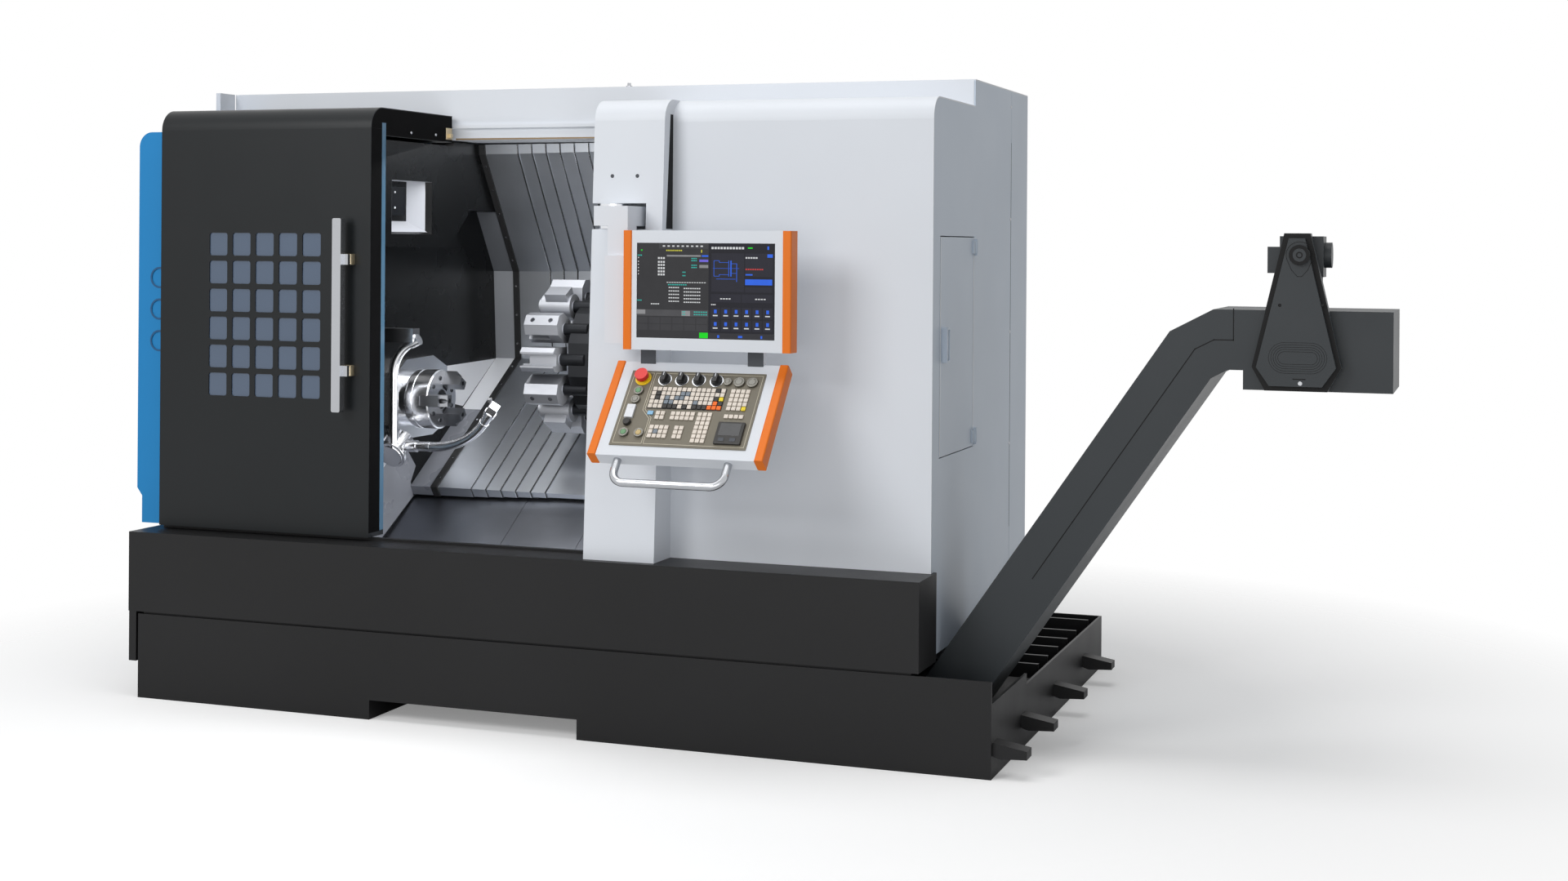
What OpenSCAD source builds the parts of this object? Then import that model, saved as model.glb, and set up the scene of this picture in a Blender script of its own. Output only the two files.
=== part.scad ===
// Slant-bed turning lathe with a sliding door, tool turret, swivel console and chip conveyor.
// Lengths are in millimetres. X runs along the spindle to the right, Y to the back, Z up.

/* [Tank and skirt] */
// Length of the tank beyond the right side of the enclosure
tank_apron = 224; // [220:1:260]
// Depth of the coolant tank
tank_d = 1665; // [1650:5:1750]
// Height of the tank's front plate
tank_h = 278; // [250:1:281]
// Height of the tank's side walls in front
tank_side_h = 215; // [195:1:225]
// Wall of the tank
tank_wall = 8; // [6:1:10]
// Length of the lifting notch under the tank's front
notch_l = 725; // [600:5:760]
// Height of the lifting notch
notch_h = 62; // [40:1:90]
// Underside of the base skirt
skirt_z = 285; // [283:1:300]
// Height of the base skirt
skirt_h = 263; // [250:1:275]

/* [Enclosure] */
// Right side of the enclosure, from the tank's left end
house_r = 2676; // [2660:1:2740]
// Front plane of the right front panel
panel_y = 159; // [152:1:175]
// Top of the front panels
panel_top = 1962; // [1950:1:1990]
// Rise of the roof above the front panels
roof_rise = 85; // [60:1:120]
// Front plane of the roof beam
roof_y = 653; // [645:1:680]
// Back plane of the enclosure
house_back = 1397; // [1390:1:1420]
// Thickness of the sheet metal
sheet = 4; // [3:0.5:5]
// Radius of the panels' front top edge
corner_r = 70; // [40:1:80]
// Reach of the left cover past the tank's left end
cover_reach = 160; // [130:1:200]

/* [Door] */
// Width of the sliding door
door_w = 805; // [760:1:820]
// Thickness of the sliding door
door_t = 92; // [80:1:96]
// Front plane of the door
door_y = 98; // [92:1:104]
// Travel of the door
door_travel = 780; // [600:1:785]
// Side of a window pane
pane = 70; // [50:1:76]
// Pitch of the window panes
pane_pitch = 89.5; // [82:0.5:95]
// Length of the door handle
handle_l = 625; // [450:1:700]

/* [Column] */
// Left side of the console column
column_x = 1608; // [1600:1:1630]
// Width of the console column
column_w = 235; // [225:1:260]
// Lean of the column's front in degrees
column_lean = 2.7; // [0:0.1:3.5]

/* [Spindle] */
// Height of the spindle axis
spindle_z = 986; // [970:1:1000]
// Distance of the spindle axis from the tank's front
spindle_y = 450; // [440:1:465]
// Radius of the spindle
spindle_r = 70; // [60:1:72]
// Radius of the bar bore through the spindle
bar_r = 33; // [20:1:38]
// Radius of the chuck
chuck_r = 100; // [90:1:104]
// Length of the chuck body
chuck_l = 85; // [75:1:92]
// Running gap around turning shafts
run_gap = 0.05; // [0.02:0.01:0.1]

/* [Turret] */
// Slope of the bed in degrees
slant = 32; // [30:0.5:34]
// Number of tool stations
stations = 12; // [8:2:12]
// Distance of the turret axis from the spindle axis along the slope
turret_s = 270; // [262:1:300]
// Radius over the tool holders
tool_r = 262; // [250:1:264]
// Radius of the turret disc
disc_r = 215; // [205:1:220]
// Thickness of the turret disc
disc_t = 85; // [60:1:86]
// Left face of the turret disc
disc_x = 1340; // [1320:1:1344]

/* [Way covers] */
// Thickness of a way cover sheet
cover_t = 2.5; // [1.5:0.1:2.7]
// Visible width of each nested segment
cover_step = 54; // [40:1:56]
// Length of a moving segment
cover_l = 150; // [148:1:158]
// Distance from the tank's front to the foot of the cover's upright part
cover_back = 1146; // [1130:1:1160]

/* [Console] */
// Width of the monitor
monitor_w = 530; // [480:1:560]
// Height of the monitor
monitor_h = 354; // [320:1:356]
// Depth of the monitor
monitor_d = 55; // [40:1:58]
// Width of the keyboard box
keys_w = 545; // [520:1:560]
// Length of the keyboard box down its slope
keys_h = 337; // [325:1:345]
// Thickness of the keyboard box
keys_t = 45; // [38:1:50]
// Tilt of the keyboard from the floor in degrees
keys_tilt = 50; // [40:1:55]

/* [Conveyor] */
// Width of the chip conveyor
conveyor_w = 340; // [300:1:345]
// Front plane of the chip conveyor
conveyor_y = 250; // [240:1:255]
// Rise of the conveyor in degrees
rise = 55.6; // [52:0.1:58]
// Half the thickness of the conveyor casing
casing_half = 86; // [80:1:88]
// Height of the conveyor's middle at its head
head_z = 1254; // [1200:1:1300]
// Length of the conveyor head
head_l = 410; // [380:1:440]

/* [Hidden] */
$fn = 48;
eps = 0.01;
slide_gap = 0.3;
touch = 0.02;

// Colours
paint_white = [0.82, 0.84, 0.87];
paint_black = [0.14, 0.15, 0.155];
paint_dark = [0.2, 0.215, 0.22];
paint_blue = [0.12, 0.47, 0.75];
paint_orange = [0.9, 0.42, 0.06];
steel = [0.66, 0.68, 0.71];
steel_dark = [0.3, 0.31, 0.33];
cast_grey = [0.42, 0.44, 0.46];
chrome = [0.85, 0.86, 0.88];
glass = [0.3, 0.36, 0.42];
rubber = [0.07, 0.07, 0.07];

// Tank
tank_l = house_r + tank_apron;
tank_back_h = tank_side_h - 32;
tank_step_y = 450;
notch_x = 879;
notch_d = 240;
foot_r = 60;
foot_gap = 14;
well_h = 120;
foot_x = [300, 1350, house_r - 226];
foot_y = [conveyor_y + conveyor_w + 130, house_back - 97];
lug_y = [for (t = [0.009, 0.228, 0.5045, 0.793]) t * tank_d];
lug_w = 60;
lug_l = 100;
rib_from = conveyor_y + conveyor_w + 30;
rib_y = [for (t = [0.1225, 0.2565, 0.408, 0.5545, 0.7,
    0.9065]) rib_from + t * (tank_d - tank_wall - rib_from)];

// Skirt and enclosure
skirt_left = -39;
skirt_right = house_r + 9;
skirt_top = skirt_z + skirt_h;
ledge_d = door_y + door_t;
roof_top = panel_top + roof_rise;
roof_left = -88;
lip_z = panel_top - 89;
chamber_y = ledge_d + 2;
wall_in_x = 718;
wall_x = wall_in_x + 82;
right_wall_x = 2200;
sill_flange_z = skirt_top - 148;
bracket_h = 165;
door_x0 = 7;
door_z0 = skirt_top + 12;
door_rail_z = skirt_top + 8;
door_top = panel_top - 7;

// Slant bed frame
way_n = -430;
bed_n = way_n - 40;
way_w = 80;
way_s = [-20, 440];
bed_x0 = 150;
bed_x1 = house_r - 56;
bed_front = conveyor_y + conveyor_w + 50;
bed_back = house_back - 17;
bed_foot_z = 120;
seat_x = 600;
seat_y = 480;
arm_x = [300, house_r - 226];
function plane_z(y, n) = spindle_z + n * cos(slant) + (y - spindle_y + n * sin(slant)) * tan(slant);
function at_slant(s, n) = [spindle_y + s * cos(slant) - n * sin(slant),
    spindle_z + s * sin(slant) + n * cos(slant)];

// Way cover profile in Y and Z, from the roof down to the lip
cover_top = lip_z - 6;
upright_z = spindle_z + 100;
function up_z(t) = upright_z + t * (cover_top - upright_z);
cover_pts = [
    [cover_back - 294, cover_top],
    [cover_back - 289, cover_top - 34],
    [cover_back - 22, up_z(0.416)],
    [cover_back, upright_z],
    [cover_back - 620, spindle_z - 309],
    [cover_back - 597, spindle_z - 340]
];
cover_pitch = 3;
cover_1_l = 155;
moving_covers = 5;
chute_t = 3;
chute_drop = 12;
chute_lap = 24;
chute_start = cover_pts[5] + [chute_lap, -chute_drop + chute_lap * tan(slant)];
chute_y = 300;
chute_edge = [chute_y, chute_start[1] - (chute_start[0] - chute_y) * tan(slant)];
chute_cuts = [wall_in_x, 1147, 1419, right_wall_x];
plate_gap = 1.5;

// Carriage and turret along X
carriage_x = 1440;
carriage_l = 350;
carriage_s = [-60, 560];
carriage_n = -250;
wing_left = carriage_x - 310;
wing_right = carriage_x + carriage_l + 440;
slide_s = [turret_s - 150, turret_s + 150];
slide_n = -170;
housing_r = 150;
holder_l = 122;
shank_l = 28;
holder_r0 = 150;

// Spindle line along X
chuck_x = wall_in_x + 77;
chuck_face = chuck_x + chuck_l;
nose_x = wall_in_x + 70;
pulley_x = 170;
pulley_w = 70;
spindle_pulley_r = 110;
motor_pulley_r = 80;
motor_s = 520;
motor_n = bed_n + 120;
belt_t = 8;
belt_gap = 0.3;
headstock_x = 250;
headstock_end = wall_in_x - 12;

// Frame origin at the middle of the bounding box, on the floor
handle_r = 12;
handle_out = 78;
monitor_y = -100;
monitor_x = column_x + 187;
monitor_z = panel_top - 406;
keys_x = monitor_x + monitor_w / 2 - 34;
keys_y = monitor_y - 50;
keys_z = monitor_z - monitor_h - 169;
handle_v = keys_h / 2 + handle_out;
handle_front = keys_y - handle_v * cos(keys_tilt) + keys_t / 2 * sin(keys_tilt) - handle_r;
head_end = conveyor_bend_x() + (head_z - conveyor_low()) / tan(rise) + 118 + head_l;
origin_x = (head_end - cover_reach) / 2;
origin_y = (handle_front + tank_d) / 2;

// Conveyor path in X and Z
function conveyor_bend_x() = house_r - 4;
function conveyor_low() = casing_half + 36.5;
conveyor_back = conveyor_y + conveyor_w;
conveyor_x0 = 640;
conveyor_wall = 4;
bend_cut = 55;
knee = [conveyor_bend_x() + (head_z - conveyor_low()) / tan(rise), head_z];
head_x = knee[0] + 118;
path = [
    [conveyor_x0, conveyor_low()],
    [conveyor_bend_x(), conveyor_low()],
    knee - bend_cut * [cos(rise), sin(rise)],
    knee + [bend_cut, 0],
    [head_x, head_z]
];
head_drop = 141;
shaft_x = head_x + 156;
shaft_z = head_z - 19;
sprocket_r = 62;
shaft_r = 20;
belt_half = 55;
drive_x = shaft_x;
drive_y = conveyor_y - 55;

// Moves the tank-corner frame to the part's origin
module place() {
    translate([-origin_x, -origin_y, 0]) children();
}

// Extrudes a Y-Z outline along X
module along_x(x0, x1) {
    translate([x0, 0, 0]) rotate([90, 0, 90]) linear_extrude(x1 - x0) children();
}

// Extrudes an X-Z outline along Y
module along_y(y0, y1) {
    translate([0, y1, 0]) rotate([90, 0, 0]) linear_extrude(y1 - y0) children();
}

// Local frame of the slanted bed: X along the spindle, Y up the slope, Z off the slope
module on_slant(s = 0, n = 0) {
    translate([0, spindle_y, spindle_z]) rotate([slant, 0, 0]) translate([0, s, n]) children();
}

// Box given by two corners
module block(a, b) {
    translate(a) cube(b - a);
}

// Cylinder along X
module rod_x(x0, x1, r) {
    translate([x0, 0, 0]) rotate([0, 90, 0]) cylinder(h = x1 - x0, r = r);
}

// Cylinder along Y
module rod_y(y0, y1, r) {
    translate([0, y1, 0]) rotate([90, 0, 0]) cylinder(h = y1 - y0, r = r);
}

// Rectangle with round corners, centred
module round_rect(w, h, r) {
    square([w - 2 * r, h], center = true);
    square([w, h - 2 * r], center = true);
    for (sx = [-1, 1], sz = [-1, 1])
        translate([sx * (w / 2 - r), sz * (h / 2 - r)]) circle(r);
}

// Paths offset to the left of their direction, with mitred corners
function unit(v) = v / norm(v);
function left_of(a, b) = let (d = unit(b - a)) [-d[1], d[0]];
function mitre(p, i, d) =
    i == 0 ? p[0] + d * left_of(p[0], p[1]) :
    i == len(p) - 1 ? p[i] + d * left_of(p[i - 1], p[i]) :
    let (a = left_of(p[i - 1], p[i]), b = left_of(p[i], p[i + 1]), m = unit(a + b)) p[i] + m * d / (m * a);
function shifted(p, d) = [for (i = [0 : len(p) - 1]) mitre(p, i, d)];
function back(p) = [for (i = [len(p) - 1 : -1 : 0]) p[i]];
function ribbon(p, d0, d1) = concat(shifted(p, d0), back(shifted(p, d1)));
function part_of(p, i, j) = [for (k = [i : j]) p[k]];

// Filled front panel section: upright front, round top edge, flat top
module hood_2d(y0, z0, y1, z1, r) {
    translate([y0, z0]) square([y1 - y0, z1 - r - z0]);
    translate([y0 + r, z0]) square([y1 - y0 - r, z1 - z0]);
    translate([y0 + r, z1 - r]) circle(r);
}

// Coolant tank with its front plate, foot wells, side lugs and guard bars
module coolant_tank() place() color(paint_black) {
    difference() {
        union() {
            cube([tank_l, tank_step_y, tank_side_h]);
            cube([tank_l, tank_d, tank_back_h]);
            cube([tank_l, tank_wall, tank_h]);
        }
        difference() {
            block([tank_wall, tank_wall, tank_wall], [tank_l - tank_wall, tank_d - tank_wall, tank_h + 1]);
            block([notch_x - tank_wall, 0, 0], [notch_x + notch_l + tank_wall, notch_d + tank_wall,
                notch_h + tank_wall]);
            for (x = foot_x, y = foot_y)
                translate([x, y, 0]) cylinder(h = well_h, r = foot_r + foot_gap + tank_wall);
        }
        block([notch_x, -1, -1], [notch_x + notch_l, notch_d, notch_h]);
        for (x = foot_x, y = foot_y)
            translate([x, y, -1]) cylinder(h = well_h + 2, r = foot_r + foot_gap);
    }
    for (y = lug_y)
        along_y(y, y + lug_w)
            polygon([[tank_l - 4, 66], [tank_l - 4, 104], [tank_l + lug_l, 86], [tank_l + lug_l, 62],
                [tank_l + 20, 58]]);
    for (y = rib_y)
        block([house_r + 14, y, tank_back_h - 46], [tank_l - 30, y + 14, tank_back_h]);
    for (x = [house_r + 14, tank_l - 44])
        block([x, rib_from, tank_back_h - 60], [x + 14, tank_d - tank_wall / 2, tank_back_h - 40]);
}

// Levelling feet under the bed, one pad and stud at each place
module levelling_feet() place() color(steel_dark)
    for (x = foot_x, y = foot_y)
        translate([x, y, 0]) {
            cylinder(h = 24, r = foot_r);
            cylinder(h = bed_foot_z, r = 20);
            translate([0, 0, 70]) cylinder(h = 22, r = 36, $fn = 6);
        }

// Slant bed casting with its ways, headstock seat and front arms
module bed_casting() place() color(cast_grey) {
    along_x(bed_x0, bed_x1)
        polygon([
            [bed_front, bed_foot_z], [bed_front, plane_z(bed_front, bed_n)],
            [bed_back - 50, plane_z(bed_back - 50, bed_n)], [bed_back, plane_z(bed_back - 50, bed_n)],
            [bed_back, bed_foot_z]
        ]);
    along_x(bed_x0, seat_x)
        polygon([
            [seat_y, bed_foot_z], [seat_y, plane_z(seat_y, bed_n)],
            [bed_front + 1, plane_z(bed_front + 1, bed_n)], [bed_front + 1, bed_foot_z]
        ]);
    for (s = way_s)
        on_slant() block([wall_in_x + 2, s, bed_n - eps], [bed_x1, s + way_w, way_n]);
    block([arm_x[0], sheet, skirt_z + 15], [arm_x[0] + 100, seat_y + 1, skirt_z + 95]);
    block([arm_x[1], sheet, skirt_z + 15], [arm_x[1] + 100, bed_front + 1, skirt_z + 95]);
}

// Upper base skirt: front plate, ends, top ledge, door rail, drip lip, sloped sill plate and left bracket
module base_skirt() place() color(paint_black) {
    sill_x = [wall_in_x, right_wall_x];
    difference() {
        block([skirt_left, 0, skirt_z], [skirt_right, ledge_d, skirt_top]);
        block([skirt_left + sheet, sheet, skirt_z - 1], [skirt_right - sheet, ledge_d + 1,
            skirt_top - sheet]);
    }
    block([skirt_left, ledge_d - eps, skirt_top - sheet], [wall_in_x - 16, ledge_d + 70, skirt_top]);
    along_x(sill_x[0], sill_x[1])
        polygon(ribbon([
            [ledge_d, skirt_top], [ledge_d, sill_flange_z], [conveyor_y + 6, conveyor_low() + casing_half + 4]
        ], 0, -sheet));
    block([door_x0 - 4, door_y + 30, skirt_top - eps], [column_x - 4, door_y + 50, door_rail_z]);
    block([tank_wall + 6, sheet - eps, skirt_z + 1], [house_r - 16, tank_wall + 2 + sheet, skirt_z + 5]);
    block([tank_wall + 6, tank_wall + 2, skirt_z - 23], [house_r - 16, tank_wall + 2 + sheet, skirt_z + 5]);
    block([skirt_left + 2, 1, skirt_z - bracket_h], [skirt_left + 30, 50, skirt_z + 40]);
}

// Blue end cover over the spindle drive, with three round ports and the bar hole
module left_cover() place() color(paint_blue) {
    y0 = ledge_d + 10;
    y1 = roof_y - 94;
    top = panel_top - 75;
    low_top = lip_z - 23;
    end_x = wall_in_x - 18;
    port_x = -cover_reach + 85;
    port_z = spindle_z + 295;
    port_pitch = 108;
    port_r = 34;
    difference() {
        along_y(y0, y1) left_cover_2d(0, top, low_top, end_x);
        along_y(y0 + sheet, y1 + 1) left_cover_2d(sheet, top, low_top, end_x);
        for (k = [-1, 0, 1])
            translate([port_x, 0, port_z + k * port_pitch]) rod_y(y0 - 1, y0 + sheet / 2, port_r);
        translate([0, spindle_y, spindle_z]) rod_x(-cover_reach - 1, -cover_reach + 30, bar_r + 12);
    }
}
module left_cover_2d(inset, top, low_top, end_x) {
    r = 50;
    end = inset > 0 ? end_x + 1 : end_x;
    foot = skirt_top - (inset > 0 ? 1 : 0);
    polygon([
        [-cover_reach + inset, skirt_top + 119], [-cover_reach + inset, top - r], [-inset, top - r],
        [-inset, low_top - inset], [end, low_top - inset], [end, foot], [-cover_reach + 20 + inset, foot],
        [-cover_reach + 20 + inset, skirt_top + 92]
    ]);
    translate([-cover_reach + r, top - 2 * r]) square([cover_reach - r - inset, 2 * r - inset]);
    translate([-cover_reach + r, top - r]) circle(r - inset);
}

// Roof, roof beam, left end and back in one folded shell
module roof_panel() place() color(paint_white) {
    difference() {
        block([roof_left, roof_y, lip_z], [house_r, house_back, roof_top]);
        block([roof_left + sheet, roof_y + sheet, lip_z - 1], [house_r - sheet, house_back - sheet,
            roof_top - sheet]);
        block([house_r - sheet - 1, roof_y - 1, lip_z - 1], [house_r + 1, house_back + 1, roof_top - sheet]);
    }
    block([wall_in_x - 6, roof_y + sheet - eps, lip_z], [house_r - sheet - 10, cover_pts[0][0] + 60,
        lip_z + sheet]);
    block([roof_left, roof_y - 94, skirt_z + 15], [roof_left + sheet, house_back, lip_z + eps]);
    block([roof_left, house_back - sheet, skirt_z + 15], [house_r - sheet, house_back, lip_z + eps]);
    block([roof_left - 18, roof_y - 94, skirt_z + 15], [roof_left + eps, roof_y - 5, roof_top]);
    block([door_x0, roof_y - 13, door_top - 42], [column_x - 4, roof_y + eps, door_top - 30]);
}

// Electrical cabinet on the back
module electrical_cabinet() place() color(paint_white) {
    x = [220, house_r - 160];
    z = [skirt_z + 75, roof_top - 167];
    depth = 235;
    difference() {
        block([x[0], house_back, z[0]], [x[1], house_back + depth, z[1]]);
        for (k = [0 : 2])
            translate([x[0] + (x[1] - x[0]) * k / 3, 0, 0])
                difference() {
                    block([14, house_back + depth - 3, z[0] + 16], [(x[1] - x[0]) / 3 - 14,
                        house_back + depth + 1, z[1] - 16]);
                    block([18, house_back + depth - 4, z[0] + 20], [(x[1] - x[0]) / 3 - 18,
                        house_back + depth + 2, z[1] - 20]);
                }
    }
}

// Right front panel with its round top edge
module right_front_panel() place() color(paint_white)
    along_x(column_x + column_w, house_r)
        difference() {
            hood_2d(panel_y, skirt_top, roof_y, panel_top, corner_r);
            hood_2d(panel_y + sheet, skirt_top - 1, roof_y + 1, panel_top - sheet, corner_r - sheet);
        }

// Right side panel with the opening and hinge pins of the access door
seam_y = house_back - 245;
access_y = [238, 648];
access_gap = 3;
hinge_x = house_r + 6;
hinge_y = access_y[1] + 3;
access_w = hinge_y - access_y[0] - access_gap;
access_reach = hinge_x + sqrt(access_w * access_w - pow(hinge_y - conveyor_back, 2));
access_low = conveyor_low() + casing_half / cos(rise) + (access_reach - conveyor_bend_x()) * tan(rise);
access_z = [access_low - 2, panel_top - 416];
grip_z = [access_z[1] - 381, access_z[1] - 276];
hinge_z = [access_z[0] + 14, access_z[1] - 54];
hinge_h = 40;
pin_r = 3;
module right_side_panel() place() color(paint_white) {
    difference() {
        along_x(house_r - sheet, house_r)
            difference() {
                union() {
                    hood_2d(panel_y + sheet, skirt_top, roof_y, panel_top - sheet, corner_r - sheet);
                    translate([ledge_d + 6, skirt_z + 15])
                        square([house_back - ledge_d - 6, panel_top - sheet - skirt_z - 15 - corner_r]);
                    translate([roof_y, skirt_z + 15])
                        square([house_back - roof_y, roof_top - sheet - skirt_z - 15]);
                }
                translate([access_y[0], access_z[0]])
                    square([access_y[1] - access_y[0], access_z[1] - access_z[0]]);
            }
        block([house_r - 1.5, seam_y, skirt_z], [house_r + 1, seam_y + 3, roof_top]);
    }
    for (z = hinge_z) {
        translate([hinge_x, hinge_y, z - 4]) cylinder(h = hinge_h + 8, r = pin_r);
        for (lug = [z - 6, z + hinge_h])
            block([house_r - eps, hinge_y - 5, lug], [hinge_x + 5, hinge_y + 16, lug + 6]);
    }
}

// Hinged access door in the right side
module access_door() place() color(paint_white) {
    inner = [access_y[0] + access_gap, access_y[1] - access_gap];
    difference() {
        union() {
            block([house_r - sheet, inner[0], access_z[0] + access_gap], [house_r, inner[1],
                access_z[1] - access_gap]);
            for (z = hinge_z) {
                translate([hinge_x, hinge_y, z + slide_gap]) cylinder(h = hinge_h - 2 * slide_gap,
                    r = pin_r + 3);
                block([house_r - eps, inner[1] - 22, z + slide_gap], [hinge_x, hinge_y - 3.5,
                    z + hinge_h - slide_gap]);
            }
            block([house_r - eps, inner[0] + 28, grip_z[0]], [house_r + 16, inner[0] + 64, grip_z[1]]);
        }
        for (z = hinge_z)
            translate([hinge_x, hinge_y, z - 1]) cylinder(h = hinge_h + 2, r = pin_r + run_gap);
        block([house_r + 5, inner[0] + 34, grip_z[0] + 6], [house_r + 17, inner[0] + 58, grip_z[1] - 6]);
    }
}

// Console column: leaning front, round top and swivel notch
notch_z = [panel_top - 402, panel_top - 322];
column_foot = 30;
function column_front(z) = column_foot + (z - skirt_top) * tan(column_lean);
post_x = column_x + 54;
post_y = 122;
post_r = 48;
module column_2d(inset, y1) {
    r = corner_r - inset;
    mid_z = panel_top - corner_r;
    mid_y = column_foot + (corner_r + (mid_z - skirt_top) * sin(column_lean)) / cos(column_lean);
    foot = mid_y - (r + (mid_z - skirt_top) * sin(column_lean)) / cos(column_lean);
    z0 = skirt_top - (inset > 0 ? 1 : 0);
    polygon([
        [foot, z0], [mid_y - r * cos(column_lean), mid_z + r * sin(column_lean)],
        [mid_y, panel_top - inset], [y1, panel_top - inset], [y1, z0]
    ]);
    translate([mid_y, mid_z]) circle(r);
}
module column_panel() place() color(paint_white) {
    depth = 300;
    difference() {
        union() {
            difference() {
                along_x(column_x, column_x + column_w) column_2d(0, roof_y);
                along_x(column_x + sheet, column_x + column_w - sheet) column_2d(sheet, roof_y + 1);
                block([column_x - 1, depth, 0], [column_x + column_w + 1, roof_y + 1, panel_top - sheet]);
                block([column_x + sheet, ledge_d + 4, 0], [column_x + column_w + 1, roof_y,
                    panel_top - sheet - corner_r]);
            }
            intersection() {
                along_x(column_x, column_x + column_w) column_2d(0, depth);
                block([column_x, 0, notch_z[0] - 6], [column_x + 186, 190, notch_z[1] + 6]);
            }
        }
        block([column_x - 1, -1, notch_z[0]], [column_x + 180, 184, notch_z[1]]);
        translate([post_x, post_y, notch_z[0] - 7]) cylinder(h = 10, r = 20 + run_gap);
        translate([post_x, post_y, notch_z[1] - 1]) cylinder(h = 8, r = 20 + run_gap);
    }
}

// Left chamber wall with the way opening and the lamp pocket
lamp_y = [chamber_y + 58, chamber_y + 324];
lamp_z = [up_z(0.584), up_z(0.8145)];
lamp_slope = 44;
lamp_rim = 20;
lamp_back = wall_in_x + 20;
module left_wall() place() color(paint_dark) {
    top = lip_z - 21;
    low = up_z(0.53);
    high = up_z(0.6965);
    step = [[chamber_y, low], [roof_y - 13, low], [roof_y + 137, high], [cover_y(high), high]];
    difference() {
        union() {
            along_x(wall_in_x - 6, wall_in_x) chamber_2d(top);
            along_x(wall_in_x - 6, wall_x) polygon(ribbon(cover_pts, 0, cover_t));
            along_x(wall_in_x - eps, wall_x)
                intersection() {
                    chamber_2d(top);
                    polygon(concat(step, [[house_back, high], [house_back, lip_z], [chamber_y, lip_z]]));
                }
        }
        translate([0, spindle_y, spindle_z]) rod_x(wall_in_x - 7, wall_in_x + 1, spindle_r + 10);
        intersection() {
            along_y(lamp_y[0], lamp_y[1])
                polygon([
                    [lamp_back, lamp_z[0] + lamp_slope], [wall_x + 1, lamp_z[0]], [wall_x + 1, lamp_z[1]],
                        [lamp_back, lamp_z[1]]
                ]);
            linear_extrude(roof_top)
                polygon([
                    [lamp_back, lamp_y[0]], [wall_x + 1, lamp_y[0]], [wall_x + 1, lamp_y[1]], [lamp_back,
                        lamp_y[1] - 66]
                ]);
        }
    }
}
function cover_y(z) =
    let (a = cover_pts[1], b = cover_pts[2]) a[0] + (b[0] - a[0]) * (a[1] - z) / (a[1] - b[1]);

// Section of the cutting chamber in front of the way covers
module chamber_2d(top) {
    low = cover_pts[5] - [0, chute_drop];
    polygon([
        [chamber_y, sill_flange_z], [chute_y, sill_flange_z], chute_edge, low, cover_pts[5], cover_pts[4],
        cover_pts[3], cover_pts[2], cover_pts[1], cover_pts[0], [roof_y + 12, cover_pts[0][1]],
            [roof_y + 12, top],
        [chamber_y, top]
    ]);
}

// Right chamber wall, clear of the sliding carriage cover
module right_wall() place() color(paint_dark)
    along_x(right_wall_x, right_wall_x + 6)
        difference() {
            chamber_2d(lip_z);
            polygon(ribbon(cover_pts, 30, -3));
            on_slant_2d() translate([carriage_s[0] - 4, -700]) square([carriage_s[1] - carriage_s[0] + 8,
                700 + slide_n]);
        }
module on_slant_2d() {
    translate([spindle_y, spindle_z]) rotate(slant) children();
}

// Faceted cover around the spindle nose
module nose_cover() place() color(steel)
    difference() {
        union() {
            along_x(wall_in_x, wall_in_x + 44)
                translate([spindle_y, spindle_z])
                    polygon([
                        [-95, 90], [-30, 132], [150, 138], [248, 95], [248, -96], [150, -136], [-30, -136],
                            [-95, -86]
                    ]);
            translate([0, spindle_y, spindle_z]) rod_x(wall_in_x + 44 - eps, nose_x, chuck_r - 8);
        }
        translate([0, spindle_y, spindle_z]) rod_x(wall_in_x - 1, nose_x + 1, spindle_r + 1);
    }

// Work lamp on the back of its pocket
module work_light() place() color(glass)
    translate([lamp_back, lamp_y[0] + 100, (lamp_z[0] + lamp_slope + lamp_z[1]) / 2])
        rotate([90, 0, 90]) linear_extrude(10) round_rect(150,
            lamp_z[1] - lamp_z[0] - lamp_slope - 2 * lamp_rim, 8);

// Black wiper strip along the way opening
module way_seal() place() color(rubber)
    along_x(wall_x, wall_x + 24) polygon(ribbon(cover_pts, -6, 0));

// Chip chute plates below the way covers
module chip_chute() place() color(steel)
    for (k = [0 : len(chute_cuts) - 2])
        along_x(chute_cuts[k] + (k > 0 ? plate_gap : 0), chute_cuts[k + 1])
            polygon(ribbon([chute_start, chute_edge, [chute_y, 2 * casing_half + 44]], 0, chute_t));

// Telescopic way covers: the first is fixed, the others nest behind it
module cover_sheet(k, x0, x1) {
    along_x(x0, x1) polygon(ribbon(cover_pts, k * cover_pitch, k * cover_pitch + cover_t));
}
module moving_cover(k) place() color(steel) {
    edge = wall_x + cover_1_l + k * cover_step;
    cover_sheet(k, edge - cover_l, edge);
}
module way_cover_1() place() color(steel) cover_sheet(0, wall_x, wall_x + cover_1_l);
module way_cover_2() moving_cover(1);
module way_cover_3() moving_cover(2);
module way_cover_4() moving_cover(3);
module way_cover_5() moving_cover(4);
module way_cover_6() moving_cover(5);

// Cover sheet carried by the carriage, with its window
module carriage_cover() place() color(steel)
    difference() {
        cover_sheet(moving_covers + 1, wing_left, wing_right);
        on_slant()
            block([carriage_x, carriage_s[0], bed_n], [carriage_x + carriage_l, carriage_s[1], carriage_n]);
    }

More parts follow.
